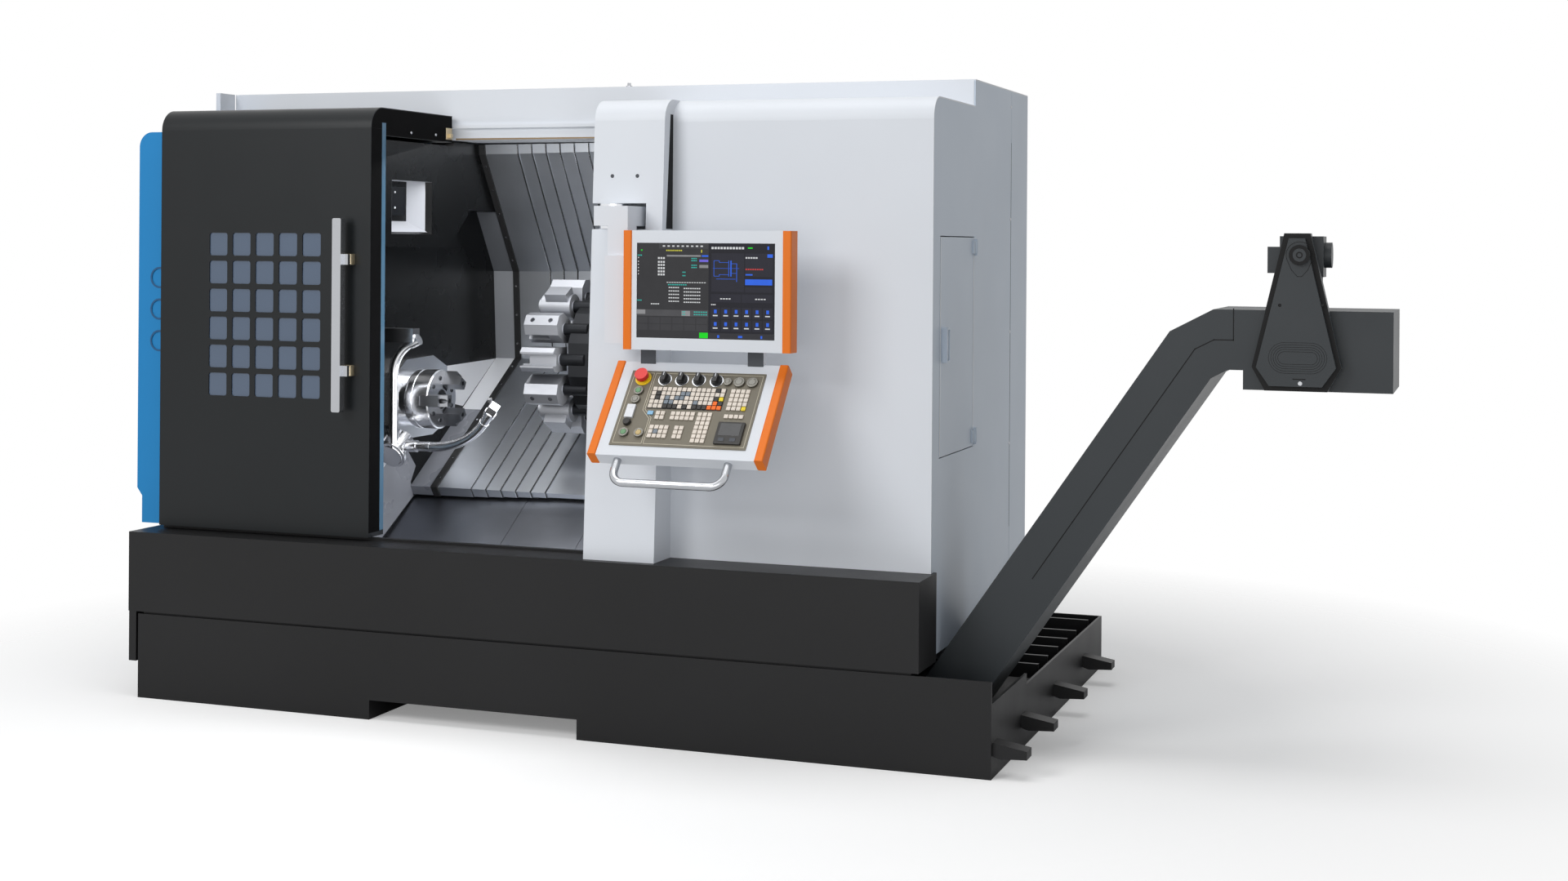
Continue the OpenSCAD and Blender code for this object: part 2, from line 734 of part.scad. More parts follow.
// Headstock casting on the slanted bed
module headstock() place() color(cast_grey)
    difference() {
        union() {
            on_slant() block([headstock_x, -150, bed_n], [headstock_end, 190, 60]);
            translate([0, spindle_y, spindle_z]) rod_x(headstock_x + 6, headstock_end - 6, 138);
        }
        translate([0, spindle_y, spindle_z]) rod_x(headstock_x - 1, headstock_end + 1, spindle_r + run_gap);
        on_slant() block([headstock_x + 90, -110, bed_n + 60], [headstock_end - 90, 191, -190]);
    }

// Hollow spindle with its nose flange and belt pulley
module spindle() place() color(steel)
    translate([0, spindle_y, spindle_z])
        difference() {
            union() {
                rod_x(pulley_x - 10, chuck_x, spindle_r);
                difference() {
                    rod_x(pulley_x, pulley_x + pulley_w, spindle_pulley_r);
                    for (k = [0 : 5])
                        rotate([60 * k, 0, 0]) translate([0, 88, 0]) rod_x(pulley_x - 1,
                            pulley_x + pulley_w + 1, 11);
                }
            }
            rod_x(pulley_x - 11, chuck_x + 1, bar_r);
        }

// Rotary cylinder that works the chuck
module chuck_cylinder() place() color(steel_dark)
    translate([0, spindle_y, spindle_z])
        difference() {
            union() {
                rod_x(pulley_x - 130, pulley_x - 10, 98);
                rod_x(pulley_x - 170, pulley_x - 130, 62);
            }
            rod_x(pulley_x - 171, pulley_x - 9, bar_r);
        }

// Three-jaw chuck body with jaw slots
slot_w = 34;
slot_depth = 30;
jaw_in = 45;
jaw_out = 97;
jaw_phase = 90;
module chuck_body() place() color(steel)
    translate([0, spindle_y, spindle_z])
        difference() {
            rotate([0, 90, 0]) rotate_extrude()
                polygon([
                    [bar_r, chuck_x], [chuck_r - 3, chuck_x], [chuck_r, chuck_x + 3], [chuck_r, chuck_x + 24],
                    [chuck_r - 2, chuck_x + 26], [chuck_r - 2, chuck_x + 29], [chuck_r, chuck_x + 31],
                    [chuck_r, chuck_face - 4], [chuck_r - 4, chuck_face], [bar_r, chuck_face]
                ]);
            for (k = [0 : 2])
                rotate([jaw_phase + 120 * k, 0, 0])
                    block([chuck_face - slot_depth, -slot_w / 2, jaw_in - 9], [chuck_face + 1, slot_w / 2,
                        chuck_r + 1]);
        }

// Chuck jaw: base in the slot and stepped top jaw
jaw_l = 64;
module jaw(k) place() color(steel_dark)
    translate([0, spindle_y, spindle_z]) rotate([jaw_phase + 120 * k, 0, 0])
        difference() {
            union() {
                block(
                    [chuck_face - slot_depth + slide_gap, -slot_w / 2 + slide_gap, jaw_in],
                    [chuck_face + 1, slot_w / 2 - slide_gap, jaw_out]
                );
                along_y(-19, 19)
                    polygon([
                        [chuck_face + slide_gap, jaw_in + 2], [chuck_face + jaw_l, jaw_in + 2],
                        [chuck_face + jaw_l, jaw_out - 22], [chuck_face + jaw_l - 24, jaw_out - 12],
                        [chuck_face + jaw_l - 24, jaw_out], [chuck_face + slide_gap, jaw_out]
                    ]);
            }
            for (z = [jaw_in + 16, jaw_out - 14])
                translate([0, 0, z]) rod_x(chuck_face + 14, chuck_face + jaw_l + 1, 8);
        }
module jaw_1() jaw(0);
module jaw_2() jaw(1);
module jaw_3() jaw(2);

// Spindle motor on the bed
motor_half = 110;
motor_yz = at_slant(motor_s, motor_n);
module spindle_motor() place() color(steel_dark)
    on_slant(motor_s, motor_n) difference() {
        union() {
            along_x(340, 700) difference() {
                round_rect(2 * motor_half, 2 * motor_half, 26);
                for (k = [-3 : 3])
                    for (side = [-1, 1])
                        translate([side * motor_half, 26 * k]) square([16, 10], center = true);
            }
            block([360, -motor_half - 20, bed_n - motor_n], [680, motor_half + 20, -motor_half + 2]);
            rod_x(310, 341, 95);
            rod_x(pulley_x + pulley_w + slide_gap, 311, 40);
        }
        rod_x(200, 420, 24 + run_gap);
    }
module motor_pulley() place() color(steel)
    on_slant(motor_s, motor_n) {
        rod_x(pulley_x, pulley_x + pulley_w, motor_pulley_r);
        rod_x(pulley_x + pulley_w - eps, 410, 24);
    }

// Flat belt around both pulleys
belt_d = norm([motor_s, motor_n]);
belt_turn = atan2(motor_n, motor_s);
module belt_2d(extra) {
    dip = 0.6;
    a = asin((spindle_pulley_r - motor_pulley_r) / belt_d);
    r1 = spindle_pulley_r + extra - dip;
    r2 = motor_pulley_r + extra - dip;
    circle(r1 + dip);
    translate([belt_d, 0]) circle(r2 + dip);
    polygon([
        [r1 * sin(a), r1 * cos(a)], [belt_d + r2 * sin(a), r2 * cos(a)],
        [belt_d + r2 * sin(a), -r2 * cos(a)], [r1 * sin(a), -r1 * cos(a)]
    ]);
}
module drive_belt() place() color(rubber)
    on_slant() along_x(pulley_x + 6, pulley_x + pulley_w - 6)
        rotate(belt_turn) difference() {
            belt_2d(belt_gap + belt_t);
            belt_2d(belt_gap);
        }

// Carriage on the bed ways
module carriage() place() color(cast_grey)
    difference() {
        on_slant()
            block([carriage_x, carriage_s[0], way_n + slide_gap], [carriage_x + carriage_l, carriage_s[1],
                carriage_n]);
        on_slant()
            block([carriage_x - 1, way_s[0] + way_w + 30, way_n - 1], [carriage_x + carriage_l + 1,
                way_s[1] - 30, way_n + 50]);
        on_slant()
            block([carriage_x + 60, carriage_s[0] - 1, carriage_n - 30], [carriage_x + carriage_l - 60,
                carriage_s[1] + 1, carriage_n + 1]);
    }

// Cross slide with the turret housing
module cross_slide() place() color(steel)
    on_slant() difference() {
        union() {
            block(
                [carriage_x + 60 + slide_gap, slide_s[0], carriage_n - 30 + slide_gap],
                [carriage_x + carriage_l - 60 - slide_gap, slide_s[1], carriage_n + 1]
            );
            block([carriage_x + 4, slide_s[0], carriage_n + slide_gap], [carriage_x + carriage_l - 4,
                slide_s[1], slide_n]);
            translate([0, turret_s, 0]) {
                rod_x(disc_x + disc_t + 6, carriage_x + carriage_l - 20, housing_r);
                block([carriage_x + 4, -130, slide_n - eps], [carriage_x + carriage_l - 20, 130, 0]);
            }
        }
        translate([0, turret_s, 0]) rod_x(disc_x + disc_t, carriage_x + 150, 60 + run_gap);
    }

// Turret disc with its shaft and cap
module turret_disc() place() color(steel_dark)
    translate([0, at_slant(turret_s, 0)[0], at_slant(turret_s, 0)[1]])
        difference() {
            union() {
                rotate([90 / stations * 2, 0, 0]) rotate([0, 90, 0]) translate([0, 0, disc_x])
                    cylinder(h = disc_t, r = disc_r, $fn = stations);
                rod_x(disc_x - 14, disc_x + eps, 96);
                rod_x(disc_x - 24, disc_x - 13, 58);
                rod_x(disc_x + disc_t - eps, carriage_x + 140, 60);
            }
            for (k = [0 : stations - 1])
                rotate([360 / stations * k, 0, 0]) translate([0, -(holder_r0 + 50), 0])
                    rod_x(disc_x - 1, disc_x + 60, 20 + run_gap);
        }

// Tool holders: turning blocks, facing blocks and boring sleeves in turn around the disc
module holder(kind) {
    x0 = disc_x - shank_l - holder_l;
    x1 = disc_x - shank_l;
    mid = holder_r0 + 50;
    translate([0, mid, 0]) rod_x(x1 - eps, disc_x + 58, 20);
    difference() {
        if (kind == 0)
            along_x(x0, x1) translate([mid, 0]) polygon([
                [-42, -40], [tool_r - mid - 14, -40], [tool_r - mid, -26], [tool_r - mid, 26],
                    [tool_r - mid - 14, 40], [-42, 40]
            ]);
        else if (kind == 2)
            union() {
                translate([0, mid, 0]) rod_x(x0 + 14, x1, 42);
                block([x0 + 34, mid, -26], [x1 - 8, tool_r, 26]);
                translate([0, mid, 0]) rod_x(x0, x1, 27);
            }
        else
            along_x(x0, x1) translate([mid, 0]) polygon([
                [-44, -30], [-20, -42], [tool_r - mid - 26, -42], [tool_r - mid, -18], [tool_r - mid, 18],
                [tool_r - mid - 26, 42], [-20, 42], [-44, 30]
            ]);
        if (kind == 0) {
            block([x0 - 1, tool_r - 24, -20], [x1 + 1, tool_r + 1, 20]);
            block([x0 - 1, 0, -14], [x0 + 24, tool_r + 1, 14]);
        }
        if (kind == 2)
            translate([0, mid, 0]) rod_x(x0 - 1, x1 - 20, 16);
        if (kind == 1)
            for (x = [x0 + 28, x1 - 28])
                translate([x, 0, 0]) rod_y(tool_r - 16, tool_r + 1, 8);
        if (kind == 1)
            block([x0 - 1, mid + 4, 22], [x1 - 40, tool_r - 30, 43]);
    }
}
module tool_holders() place() color(steel)
    translate([0, at_slant(turret_s, 0)[0], at_slant(turret_s, 0)[1]])
        for (k = [0 : stations - 1])
            rotate([180 + 360 / stations * k, 0, 0]) holder(k % 2 == 1 ? 1 : (k % 4 == 0 ? 0 : 2));

// Tool setter on the left wall: hub, foot, fixed pipe and end block
setter_x = wall_in_x + 52;
setter_r = 36;
setter_s = -203;
setter_n = -79;
setter_l = 80;
arm_s = setter_s + 42;
pipe_r = 16;
pipe_y = at_slant(setter_s, setter_n)[0] - 18;
pipe_foot = spindle_z - 156;
pipe_x = setter_x + 12;
pipe_bend = 110;
pipe_turn = 65;
pipe_top = spindle_z + 94;
module tool_setter_base() place() color(chrome) {
    end_x = pipe_x + pipe_bend * (1 - cos(pipe_turn));
    end_z = pipe_top + pipe_bend * sin(pipe_turn);
    difference() {
        on_slant() {
            translate([setter_x, setter_s, setter_n]) rod_y(0, setter_l, setter_r);
            block([wall_in_x + touch, setter_s + 14, setter_n - 26], [setter_x, setter_s + setter_l - 6,
                setter_n + 26]);
            block([wall_in_x + touch, setter_s - 16, setter_n - 52], [wall_in_x + 8,
                setter_s + setter_l - 18, setter_n + 30]);
        }
        on_slant() translate([setter_x, setter_s, setter_n]) {
            rod_y(arm_s - setter_s - 18, arm_s - setter_s + 18, setter_r + 10);
        }
    }
    on_slant() translate([setter_x, setter_s, setter_n]) rod_y(10, setter_l - 4, 17);
    translate([pipe_x, pipe_y, pipe_foot]) cylinder(h = pipe_top - pipe_foot, r = pipe_r);
    translate([pipe_x, pipe_y, pipe_top - 8]) cylinder(h = 10, r = pipe_r + 1);
    translate([pipe_x + pipe_bend, pipe_y, pipe_top]) rotate([90, 0, 0]) rotate([0, 0, 180 - pipe_turn])
        rotate_extrude(angle = pipe_turn) translate([pipe_bend, 0]) circle(pipe_r);
    translate([end_x, pipe_y, end_z]) rotate([0, pipe_turn, 0]) cylinder(h = 34, r = pipe_r + 3);
    block([wall_in_x + touch, pipe_y - 24, end_z + 4], [end_x + 20, pipe_y + 22, end_z + 50]);
}

// Swinging arm of the tool setter with its probe
arm_run = 84;
arm_bend = 300;
arm_turn = 50;
arm_tail = 62;
arm_r = 16;
module tool_setter_arm() place() color(chrome)
    on_slant() translate([setter_x, arm_s, setter_n]) {
        difference() {
            rod_y(-17.5, 17.5, setter_r - 1);
            rod_y(-18, 18, 17 + run_gap);
        }
        rod_x(setter_r - 6, setter_r + 2, arm_r);
        rod_x(setter_r + 1, setter_r + 36, arm_r + 4);
        rod_x(setter_r + 36 - eps, setter_r + arm_run, arm_r);
        rod_x(setter_r + arm_run - 8, setter_r + arm_run + 2, arm_r + 1);
        translate([setter_r + arm_run, 0, arm_bend]) rotate([90, 0, 0]) rotate([0, 0, -90])
            rotate_extrude(angle = arm_turn) translate([arm_bend, 0]) circle(arm_r);
        translate([setter_r + arm_run + arm_bend * sin(arm_turn), 0, arm_bend * (1 - cos(arm_turn))])
            rotate([0, 90 - arm_turn, 0]) {
                cylinder(h = arm_tail, r = arm_r);
                translate([0, 0, -2]) cylinder(h = 10, r = arm_r + 1);
                translate([0, 0, arm_tail - 18]) cylinder(h = 18, r = arm_r + 4);
                translate([0, 0, arm_tail + 15]) cube(32, center = true);
            }
        translate([
            setter_r + arm_run + arm_bend * sin(arm_turn) + (arm_tail + 15) * cos(arm_turn), 0,
            arm_bend * (1 - cos(arm_turn)) + (arm_tail + 15) * sin(arm_turn)
        ]) {
            cylinder(h = 40, r = 4);
            translate([0, 0, 36]) cube(12, center = true);
        }
    }

// Sliding door: folded front and top, with window holes, glide blocks and hanger blocks
pane_cols = 5;
pane_rows = 6;
pane_x0 = 234;
pane_z0 = 1040;
glide_x = [90, door_w - 90];
module door_2d() {
    difference() {
        hood_2d(door_y, door_z0, roof_y - 23, door_top, corner_r);
        translate([door_y + door_t, door_z0 - 1])
            square([roof_y, door_top - door_t - door_z0 + 1]);
    }
}
module door_panel() place() color(paint_black) {
    end_x = door_x0 + door_w;
    difference() {
        along_x(door_x0, end_x) door_2d();
        difference() {
            along_x(door_x0 + sheet, end_x - sheet) door_cavity_2d();
            block([door_x0 + 60, door_y, pane_z0 - 80], [door_x0 + 66, door_y + door_t, door_top]);
        }
        for (i = [0 : pane_cols - 1], j = [0 : pane_rows - 1])
            translate([pane_x0 + i * pane_pitch, 0, pane_z0 + j * pane_pitch * 1.04])
                along_y(door_y - 1, door_y + sheet + 1) round_rect(pane, pane + 6, 9);
    }
    for (x = glide_x)
        block([door_x0 + x - 40, door_y + 28, door_rail_z + slide_gap], [door_x0 + x + 40, door_y + 52,
            door_z0 + eps]);
    for (x = glide_x)
        block([door_x0 + x - 30, roof_y - 23 - eps, door_top - 50], [door_x0 + x + 30,
            roof_y - 13 - slide_gap, door_top - 24]);
}
module door_cavity_2d() {
    difference() {
        hood_2d(door_y + sheet, door_z0 + sheet, roof_y - 23 - sheet, door_top - sheet, corner_r - sheet);
        translate([door_y + door_t + 1, door_z0]) square([roof_y, door_top - door_t - door_z0 - 1]);
    }
}

// Window pane sheet behind the window holes
module door_windows() place() color(glass) {
    w = (pane_cols - 1) * pane_pitch + pane + 40;
    h = (pane_rows - 1) * pane_pitch * 1.04 + pane + 46;
    translate([pane_x0 + (pane_cols - 1) * pane_pitch / 2, 0,
        pane_z0 + (pane_rows - 1) * pane_pitch * 1.04 / 2])
        along_y(door_y + sheet, door_y + sheet + 6) round_rect(w, h, 12);
}

// Door handle bar on two standoffs
handle_x = 722;
handle_z = 1279;
module door_handle() place() color(chrome) {
    translate([handle_x, 0, handle_z]) along_y(door_y - 58, door_y - 30) round_rect(32, handle_l, 6);
    for (z = [handle_z - 180, handle_z + 180])
        block([handle_x - 4, door_y - 44, z - 17], [handle_x + 34, door_y, z + 17]);
}

// Console arm: post in the column's notch, lug, drop plate, mounting plate and necks
neck_x = [monitor_x + 34, monitor_x + monitor_w - 154];
neck_w = 50;
bracket_z = monitor_z - monitor_h + 14;
keys_edge = [keys_y + keys_h / 2 * cos(keys_tilt), keys_z + keys_h / 2 * sin(keys_tilt)];
function edge_z(y) = keys_edge[1] - (y - keys_edge[0]) / tan(keys_tilt);
module console_arm() place() color(paint_dark) {
    back_y = monitor_y + monitor_d;
    drop_z = monitor_z - 276;
    swing_gap = 23;
    translate([post_x, post_y,
        notch_z[0] + slide_gap]) cylinder(h = notch_z[1] - notch_z[0] - 2 * slide_gap, r = post_r);
    translate([post_x, post_y, notch_z[0] - 6]) cylinder(h = notch_z[1] - notch_z[0] + 12, r = 20);
    block([post_x, back_y + 20 - eps, notch_z[0] + 10], [column_x + 166, post_y + 28, notch_z[1] - 10]);
    block([column_x + 100, back_y + 20 - eps, drop_z], [column_x + 166, column_front(drop_z) - swing_gap,
        notch_z[0] + 20]);
    block([column_x + 100, back_y, drop_z - 20], [monitor_x + 153, back_y + 20, monitor_z - 76]);
    block([column_x + 100, back_y, bracket_z], [neck_x[1] + neck_w, back_y + 20, bracket_z + 46]);
    for (x = neck_x)
        along_x(x, x + neck_w) polygon([
            [back_y, bracket_z + 20], [back_y, edge_z(back_y) + touch], [back_y + 20,
                edge_z(back_y + 20) + touch], [back_y + 20, bracket_z + 20]
        ]);
}

// Monitor housing with its screen recess
stripe_w = 27;
screen_side = 20;
screen_w = monitor_w - 2 * stripe_w - 2 * screen_side;
screen_h = monitor_h - 73;
screen_z = monitor_z - 37 - screen_h / 2;
module monitor_housing() place() color(paint_white) {
    difference() {
        block([monitor_x + stripe_w, monitor_y, monitor_z - monitor_h], [monitor_x + monitor_w - stripe_w,
            monitor_y + monitor_d, monitor_z]);
        translate([monitor_x + monitor_w / 2 - 4, 0, screen_z]) along_y(monitor_y - 1,
            monitor_y + 8) square([screen_w, screen_h], center = true);
    }
}
module screen() place() color([0.05, 0.06, 0.08])
    translate([monitor_x + monitor_w / 2 - 4, 0, screen_z])
        along_y(monitor_y + 2, monitor_y + 8) square([screen_w, screen_h], center = true);

// Orange side bars of the monitor and the keyboard
module console_stripes() place() color(paint_orange) {
    for (x = [monitor_x, monitor_x + monitor_w - stripe_w])
        translate([x + stripe_w / 2, 0, monitor_z - monitor_h / 2])
            linear_extrude(monitor_h, center = true)
                translate([0, monitor_y + monitor_d / 2 - 2]) round_rect(stripe_w, monitor_d + 4, 5);
    on_keys()
        for (x = [-keys_w / 2 + stripe_w / 2, keys_w / 2 - stripe_w / 2])
            translate([x, 0, -keys_t / 2 + 2]) rotate([90, 0, 0])
                linear_extrude(keys_h, center = true) round_rect(stripe_w, keys_t + 4, 5);
}

// Local frame of the keyboard's face: X across, Y up the slope, Z out of the face
module on_keys(x = 0, y = 0, z = 0) {
    translate([keys_x, keys_y, keys_z]) rotate([keys_tilt, 0, 0]) translate([x, y, z]) children();
}
module keyboard_box() place() color(paint_white)
    on_keys()
        difference() {
            translate([0, 0, -keys_t / 2]) cube([keys_w - 2 * stripe_w, keys_h, keys_t], center = true);
            for (b = control_spots)
                translate([b[0], b[1], -control_depth]) cylinder(h = control_depth + 1,
                    r = b[2] + control_gap);
        }

// Keypad plate with blocks of keys and the fixed lamps and switches
plate_w = 424;
plate_h = 268;
plate_t = 3;
key_pitch = 15.4;
key_size = 12.4;
key_h = 3;
key_blocks = [[-120, 68, 15, 5], [126, 68, 4, 5], [126, -22, 4, 1], [-88, -18, 2, 2], [-40, -18, 5, 2],
    [44, -18, 3, 7], [-94, -68, 4, 3], [-16, -68, 2, 3]];
control_gap = 0.3;
control_depth = 30;
knob_r = 17;
knob_spots = [[-100, 104], [-46, 104], [8, 104], [64, 104]];
estop_spot = [-169, 104];
control_spots = concat([for (p = knob_spots) [p[0], p[1], 5]], [[estop_spot[0], estop_spot[1], 9]]);
lamp_spots = [[-171, 58, 12], [-172, 26, 11], [-176, -92, 12], [-128, -92, 12], [101, 99, 10], [137, 99,
    14], [178, 99, 14]];
module keypad() place() color([0.42, 0.4, 0.34])
    on_keys() difference() {
        union() {
            linear_extrude(plate_t) square([plate_w, plate_h], center = true);
            for (b = key_blocks, i = [0 : b[2] - 1], j = [0 : b[3] - 1])
                translate([b[0] + i * key_pitch, b[1] - j * key_pitch, plate_t + key_h / 2 - eps])
                    cube([key_size, key_size, key_h], center = true);
            for (b = lamp_spots)
                translate([b[0], b[1], plate_t - eps]) cylinder(h = 7, r = b[2]);
            translate([152, -82, plate_t - eps]) linear_extrude(6) round_rect(78, 72, 5);
            translate([-177, -16, plate_t - eps]) linear_extrude(6) round_rect(24, 44, 4);
        }
        for (b = control_spots)
            translate([b[0], b[1], -1]) cylinder(h = plate_t + 2, r = b[2] + control_gap);
    }

// Emergency stop button with its stem
module estop_button() place() color([0.8, 0.05, 0.04])
    on_keys(estop_spot[0], estop_spot[1]) {
        translate([0, 0, -18]) cylinder(h = 18 + plate_t + 14, r = 9);
        translate([0, 0, plate_t + 14 - eps]) cylinder(h = 14, r = 20);
    }

// Rotary selector knobs
module knob(k) place() color(rubber)
    on_keys(knob_spots[k][0], knob_spots[k][1]) {
        translate([0, 0, -20]) cylinder(h = 20 + plate_t + 1, r = 5);
        translate([0, 0, plate_t + slide_gap]) cylinder(h = 5, r = knob_r);
        difference() {
            translate([0, 0, plate_t + 5]) cylinder(h = 16, r = knob_r - 2);
            for (side = [-1, 1])
                translate([side * (knob_r - 4), 0, plate_t + 15]) cube([12, 40, 16], center = true);
        }
    }
module knob_1() knob(0);
module knob_2() knob(1);
module knob_3() knob(2);
module knob_4() knob(3);

// U-shaped tube handle below the keyboard
handle_span = 344;
handle_bend = 40;
module console_handle() place() color(chrome)
    on_keys(-10, -keys_h / 2, -keys_t / 2) {
        for (side = [-1, 1]) {
            translate([side * handle_span / 2, 0, 0]) rod_y(-handle_out + handle_bend, 0, handle_r);
            translate([side * (handle_span / 2 - handle_bend), -handle_out + handle_bend, 0])
                rotate([0, 0, side > 0 ? -90 : 180])
                    rotate_extrude(angle = 90) translate([handle_bend, 0]) circle(handle_r);
        }
        translate([0, -handle_out, 0]) rod_x(-handle_span / 2 + handle_bend, handle_span / 2 - handle_bend,
            handle_r);
    }

// Chip conveyor: open trough, closed rise and head
module conveyor_trough() place() color(paint_black) {
    upper = shifted(path, casing_half);
    difference() {
        union() {
            along_y(conveyor_y, conveyor_back)
                polygon(ribbon(concat(part_of(path, 0, 3), [path[4] + [4, 0]]), 0, -casing_half));
            along_y(conveyor_y, conveyor_back) polygon([path[0] - [0, 1], path[1] - [0, 1], upper[1],
                upper[0]]);
            block([head_x, conveyor_y, head_z - head_drop], [head_x + head_l, conveyor_back,
                head_z + casing_half]);
        }
        along_y(conveyor_y + conveyor_wall, conveyor_back - conveyor_wall) {
            polygon(ribbon(concat([path[0] + [conveyor_wall, 0]], part_of(path, 1, 3), [path[4] + [10,
                0]]), 1, -casing_half + conveyor_wall));
            polygon([
                path[0] + [conveyor_wall, -1], path[1], upper[1] + [0, 20], [conveyor_x0 + conveyor_wall,
                    upper[0][1] + 20]
            ]);
            translate([head_x + conveyor_wall, head_z - head_drop + conveyor_wall])
                square([head_l - 2 * conveyor_wall, head_drop + casing_half - 2 * conveyor_wall]);
            translate([shaft_x + 76, head_z - head_drop - 1]) square([head_x + head_l - 20 - shaft_x - 76,
                20]);
            translate([head_x - 10, head_z - casing_half + conveyor_wall]) square([20,
                2 * casing_half - 2 * conveyor_wall]);
        }
        translate([shaft_x, 0, shaft_z]) rod_y(conveyor_y - 1, conveyor_back + 1, shaft_r + run_gap);
    }
    for (x = [conveyor_x0 + 60, house_r - 260])
        block([x, conveyor_y + 40, tank_wall], [x + 80, conveyor_back - 40,
            conveyor_low() - casing_half + eps]);
}

// Top cover of the rising section
module conveyor_cover() place() color(paint_black) {
    upper = shifted(path, casing_half);
    lid = shifted(path, casing_half - conveyor_wall);
    difference() {
        along_y(conveyor_y, conveyor_back) polygon(concat(part_of(path, 1, 4), back(part_of(upper, 1, 4))));
        along_y(conveyor_y + conveyor_wall, conveyor_back - conveyor_wall)
            polygon(concat(
                [path[1] - [1, 1]], part_of(shifted(path, -1), 2, 3), [path[4] + [1, -1], lid[4] + [1, 0]],
                    back(part_of(lid, 2, 3)),
                [lid[1] - [20, 20]]
            ));
    }
}

// Hinged steel belt around the conveyor's middle
belt_path = concat([path[0] + [90, 0]], part_of(path, 1, 3), [[shaft_x, shaft_z]]);
module belt_band_2d(half, lead) {
    dip = 0.4;
    polygon(ribbon(
        concat([belt_path[0] - [lead, 0]], part_of(belt_path, 1, 3), [belt_path[4] + [lead, 0]]),
            half - dip, -half + dip
    ));
    translate(belt_path[0]) circle(half);
    translate([shaft_x, shaft_z]) circle(half);
}
module conveyor_belt() place() color(steel_dark)
    difference() {
        along_y(conveyor_y + 14, conveyor_back - 14) belt_band_2d(sprocket_r + 8, 5);
        along_y(conveyor_y + 13, conveyor_back - 13) belt_band_2d(sprocket_r + slide_gap + 0.4, 0);
    }

// Head shaft with two sprockets
module conveyor_shaft() place() color(steel)
    translate([shaft_x, 0, shaft_z]) {
        rod_y(drive_y + 20, conveyor_back + 14, shaft_r);
        for (y = [conveyor_y + 40, conveyor_back - 70])
            difference() {
                rod_y(y, y + 30, sprocket_r);
                for (k = [0 : 11])
                    rotate([0, 30 * k, 0]) translate([sprocket_r + 4, 0, 0]) rod_y(y - 1, y + 31, 10);
            }
    }

// Drive guard and gear motor on the head
module guard_2d(inset) {
    polygon([
        [-40 + inset, 323 - inset], [32 - inset, 323 - inset], [118 - inset, -52], [80 - inset, -120 + inset],
        [-92 + inset, -120 + inset], [-128 + inset, -54]
    ]);
}
module conveyor_drive() place() color(paint_black)
    translate([drive_x, 0, shaft_z]) {
        difference() {
            union() {
                along_y(drive_y + 14, conveyor_y) guard_2d(0);
                along_y(drive_y, drive_y + 14 + eps) guard_2d(14);
            }
            along_y(drive_y + sheet, conveyor_y + 1) guard_2d(18);
        }
        translate([4, 0, 262]) rod_y(drive_y - 12, drive_y + sheet, 28);
        block([-62, conveyor_y, casing_half + 19], [62, conveyor_y + 12, 210]);
        block([-56, conveyor_y, 200], [64, conveyor_y + 100, 315]);
        translate([4, 0, 258]) rod_y(conveyor_y + 99, conveyor_y + 270, 58);
        block([-92, conveyor_y + 20, 210], [-55, conveyor_y + 90, 285]);
        translate([0, conveyor_y + 52, 262]) rod_x(63, 84, 36);
    }

coolant_tank();
levelling_feet();
bed_casting();
base_skirt();
left_cover();
roof_panel();
electrical_cabinet();
right_front_panel();
right_side_panel();
access_door();
column_panel();
left_wall();
right_wall();
nose_cover();
work_light();
way_seal();
chip_chute();
way_cover_1();
way_cover_2();
way_cover_3();
way_cover_4();
way_cover_5();
way_cover_6();
carriage_cover();
headstock();
spindle();
chuck_cylinder();
chuck_body();
jaw_1();
jaw_2();
jaw_3();
spindle_motor();
motor_pulley();
drive_belt();
carriage();
cross_slide();
turret_disc();
tool_holders();
tool_setter_base();
tool_setter_arm();
door_panel();
door_windows();
door_handle();
console_arm();
monitor_housing();
screen();
console_stripes();
keyboard_box();
keypad();
console_handle();
estop_button();
knob_1();
knob_2();
knob_3();
knob_4();
conveyor_trough();
conveyor_cover();
conveyor_belt();
conveyor_shaft();
conveyor_drive();
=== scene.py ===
import math
import bmesh
import bpy
from mathutils import Matrix, Vector


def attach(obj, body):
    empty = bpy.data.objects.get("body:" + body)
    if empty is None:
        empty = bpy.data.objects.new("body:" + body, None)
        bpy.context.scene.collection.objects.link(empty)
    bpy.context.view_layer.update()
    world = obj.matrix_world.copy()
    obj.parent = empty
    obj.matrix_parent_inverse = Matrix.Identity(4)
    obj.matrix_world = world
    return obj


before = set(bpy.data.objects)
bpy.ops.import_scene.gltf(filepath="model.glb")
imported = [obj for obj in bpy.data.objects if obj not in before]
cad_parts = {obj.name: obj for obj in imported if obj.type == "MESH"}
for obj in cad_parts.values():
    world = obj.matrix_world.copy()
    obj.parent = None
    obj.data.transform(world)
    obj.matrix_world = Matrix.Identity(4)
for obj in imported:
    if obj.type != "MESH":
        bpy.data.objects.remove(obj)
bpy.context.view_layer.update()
scene = bpy.context.scene
scene.view_settings.view_transform = "Standard"

MM = 1000.0
RIGHT, FRONT, UP = (1, 0, 0), (0, -1, 0), (0, 0, 1)


# Places: millimetres from the tank's front left corner on the floor
def world_box(node):
    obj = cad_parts[node]
    spots = [obj.matrix_world @ v.co for v in obj.data.vertices]
    low = Vector([min(p[i] for p in spots) for i in range(3)])
    high = Vector([max(p[i] for p in spots) for i in range(3)])
    return low, high


CORNER = world_box("coolant_tank")[0]


def at(x, y, z):
    return CORNER + Vector((x, y, z)) / MM


def box_of(node):
    low, high = world_box(node)
    return (low - CORNER) * MM, (high - CORNER) * MM


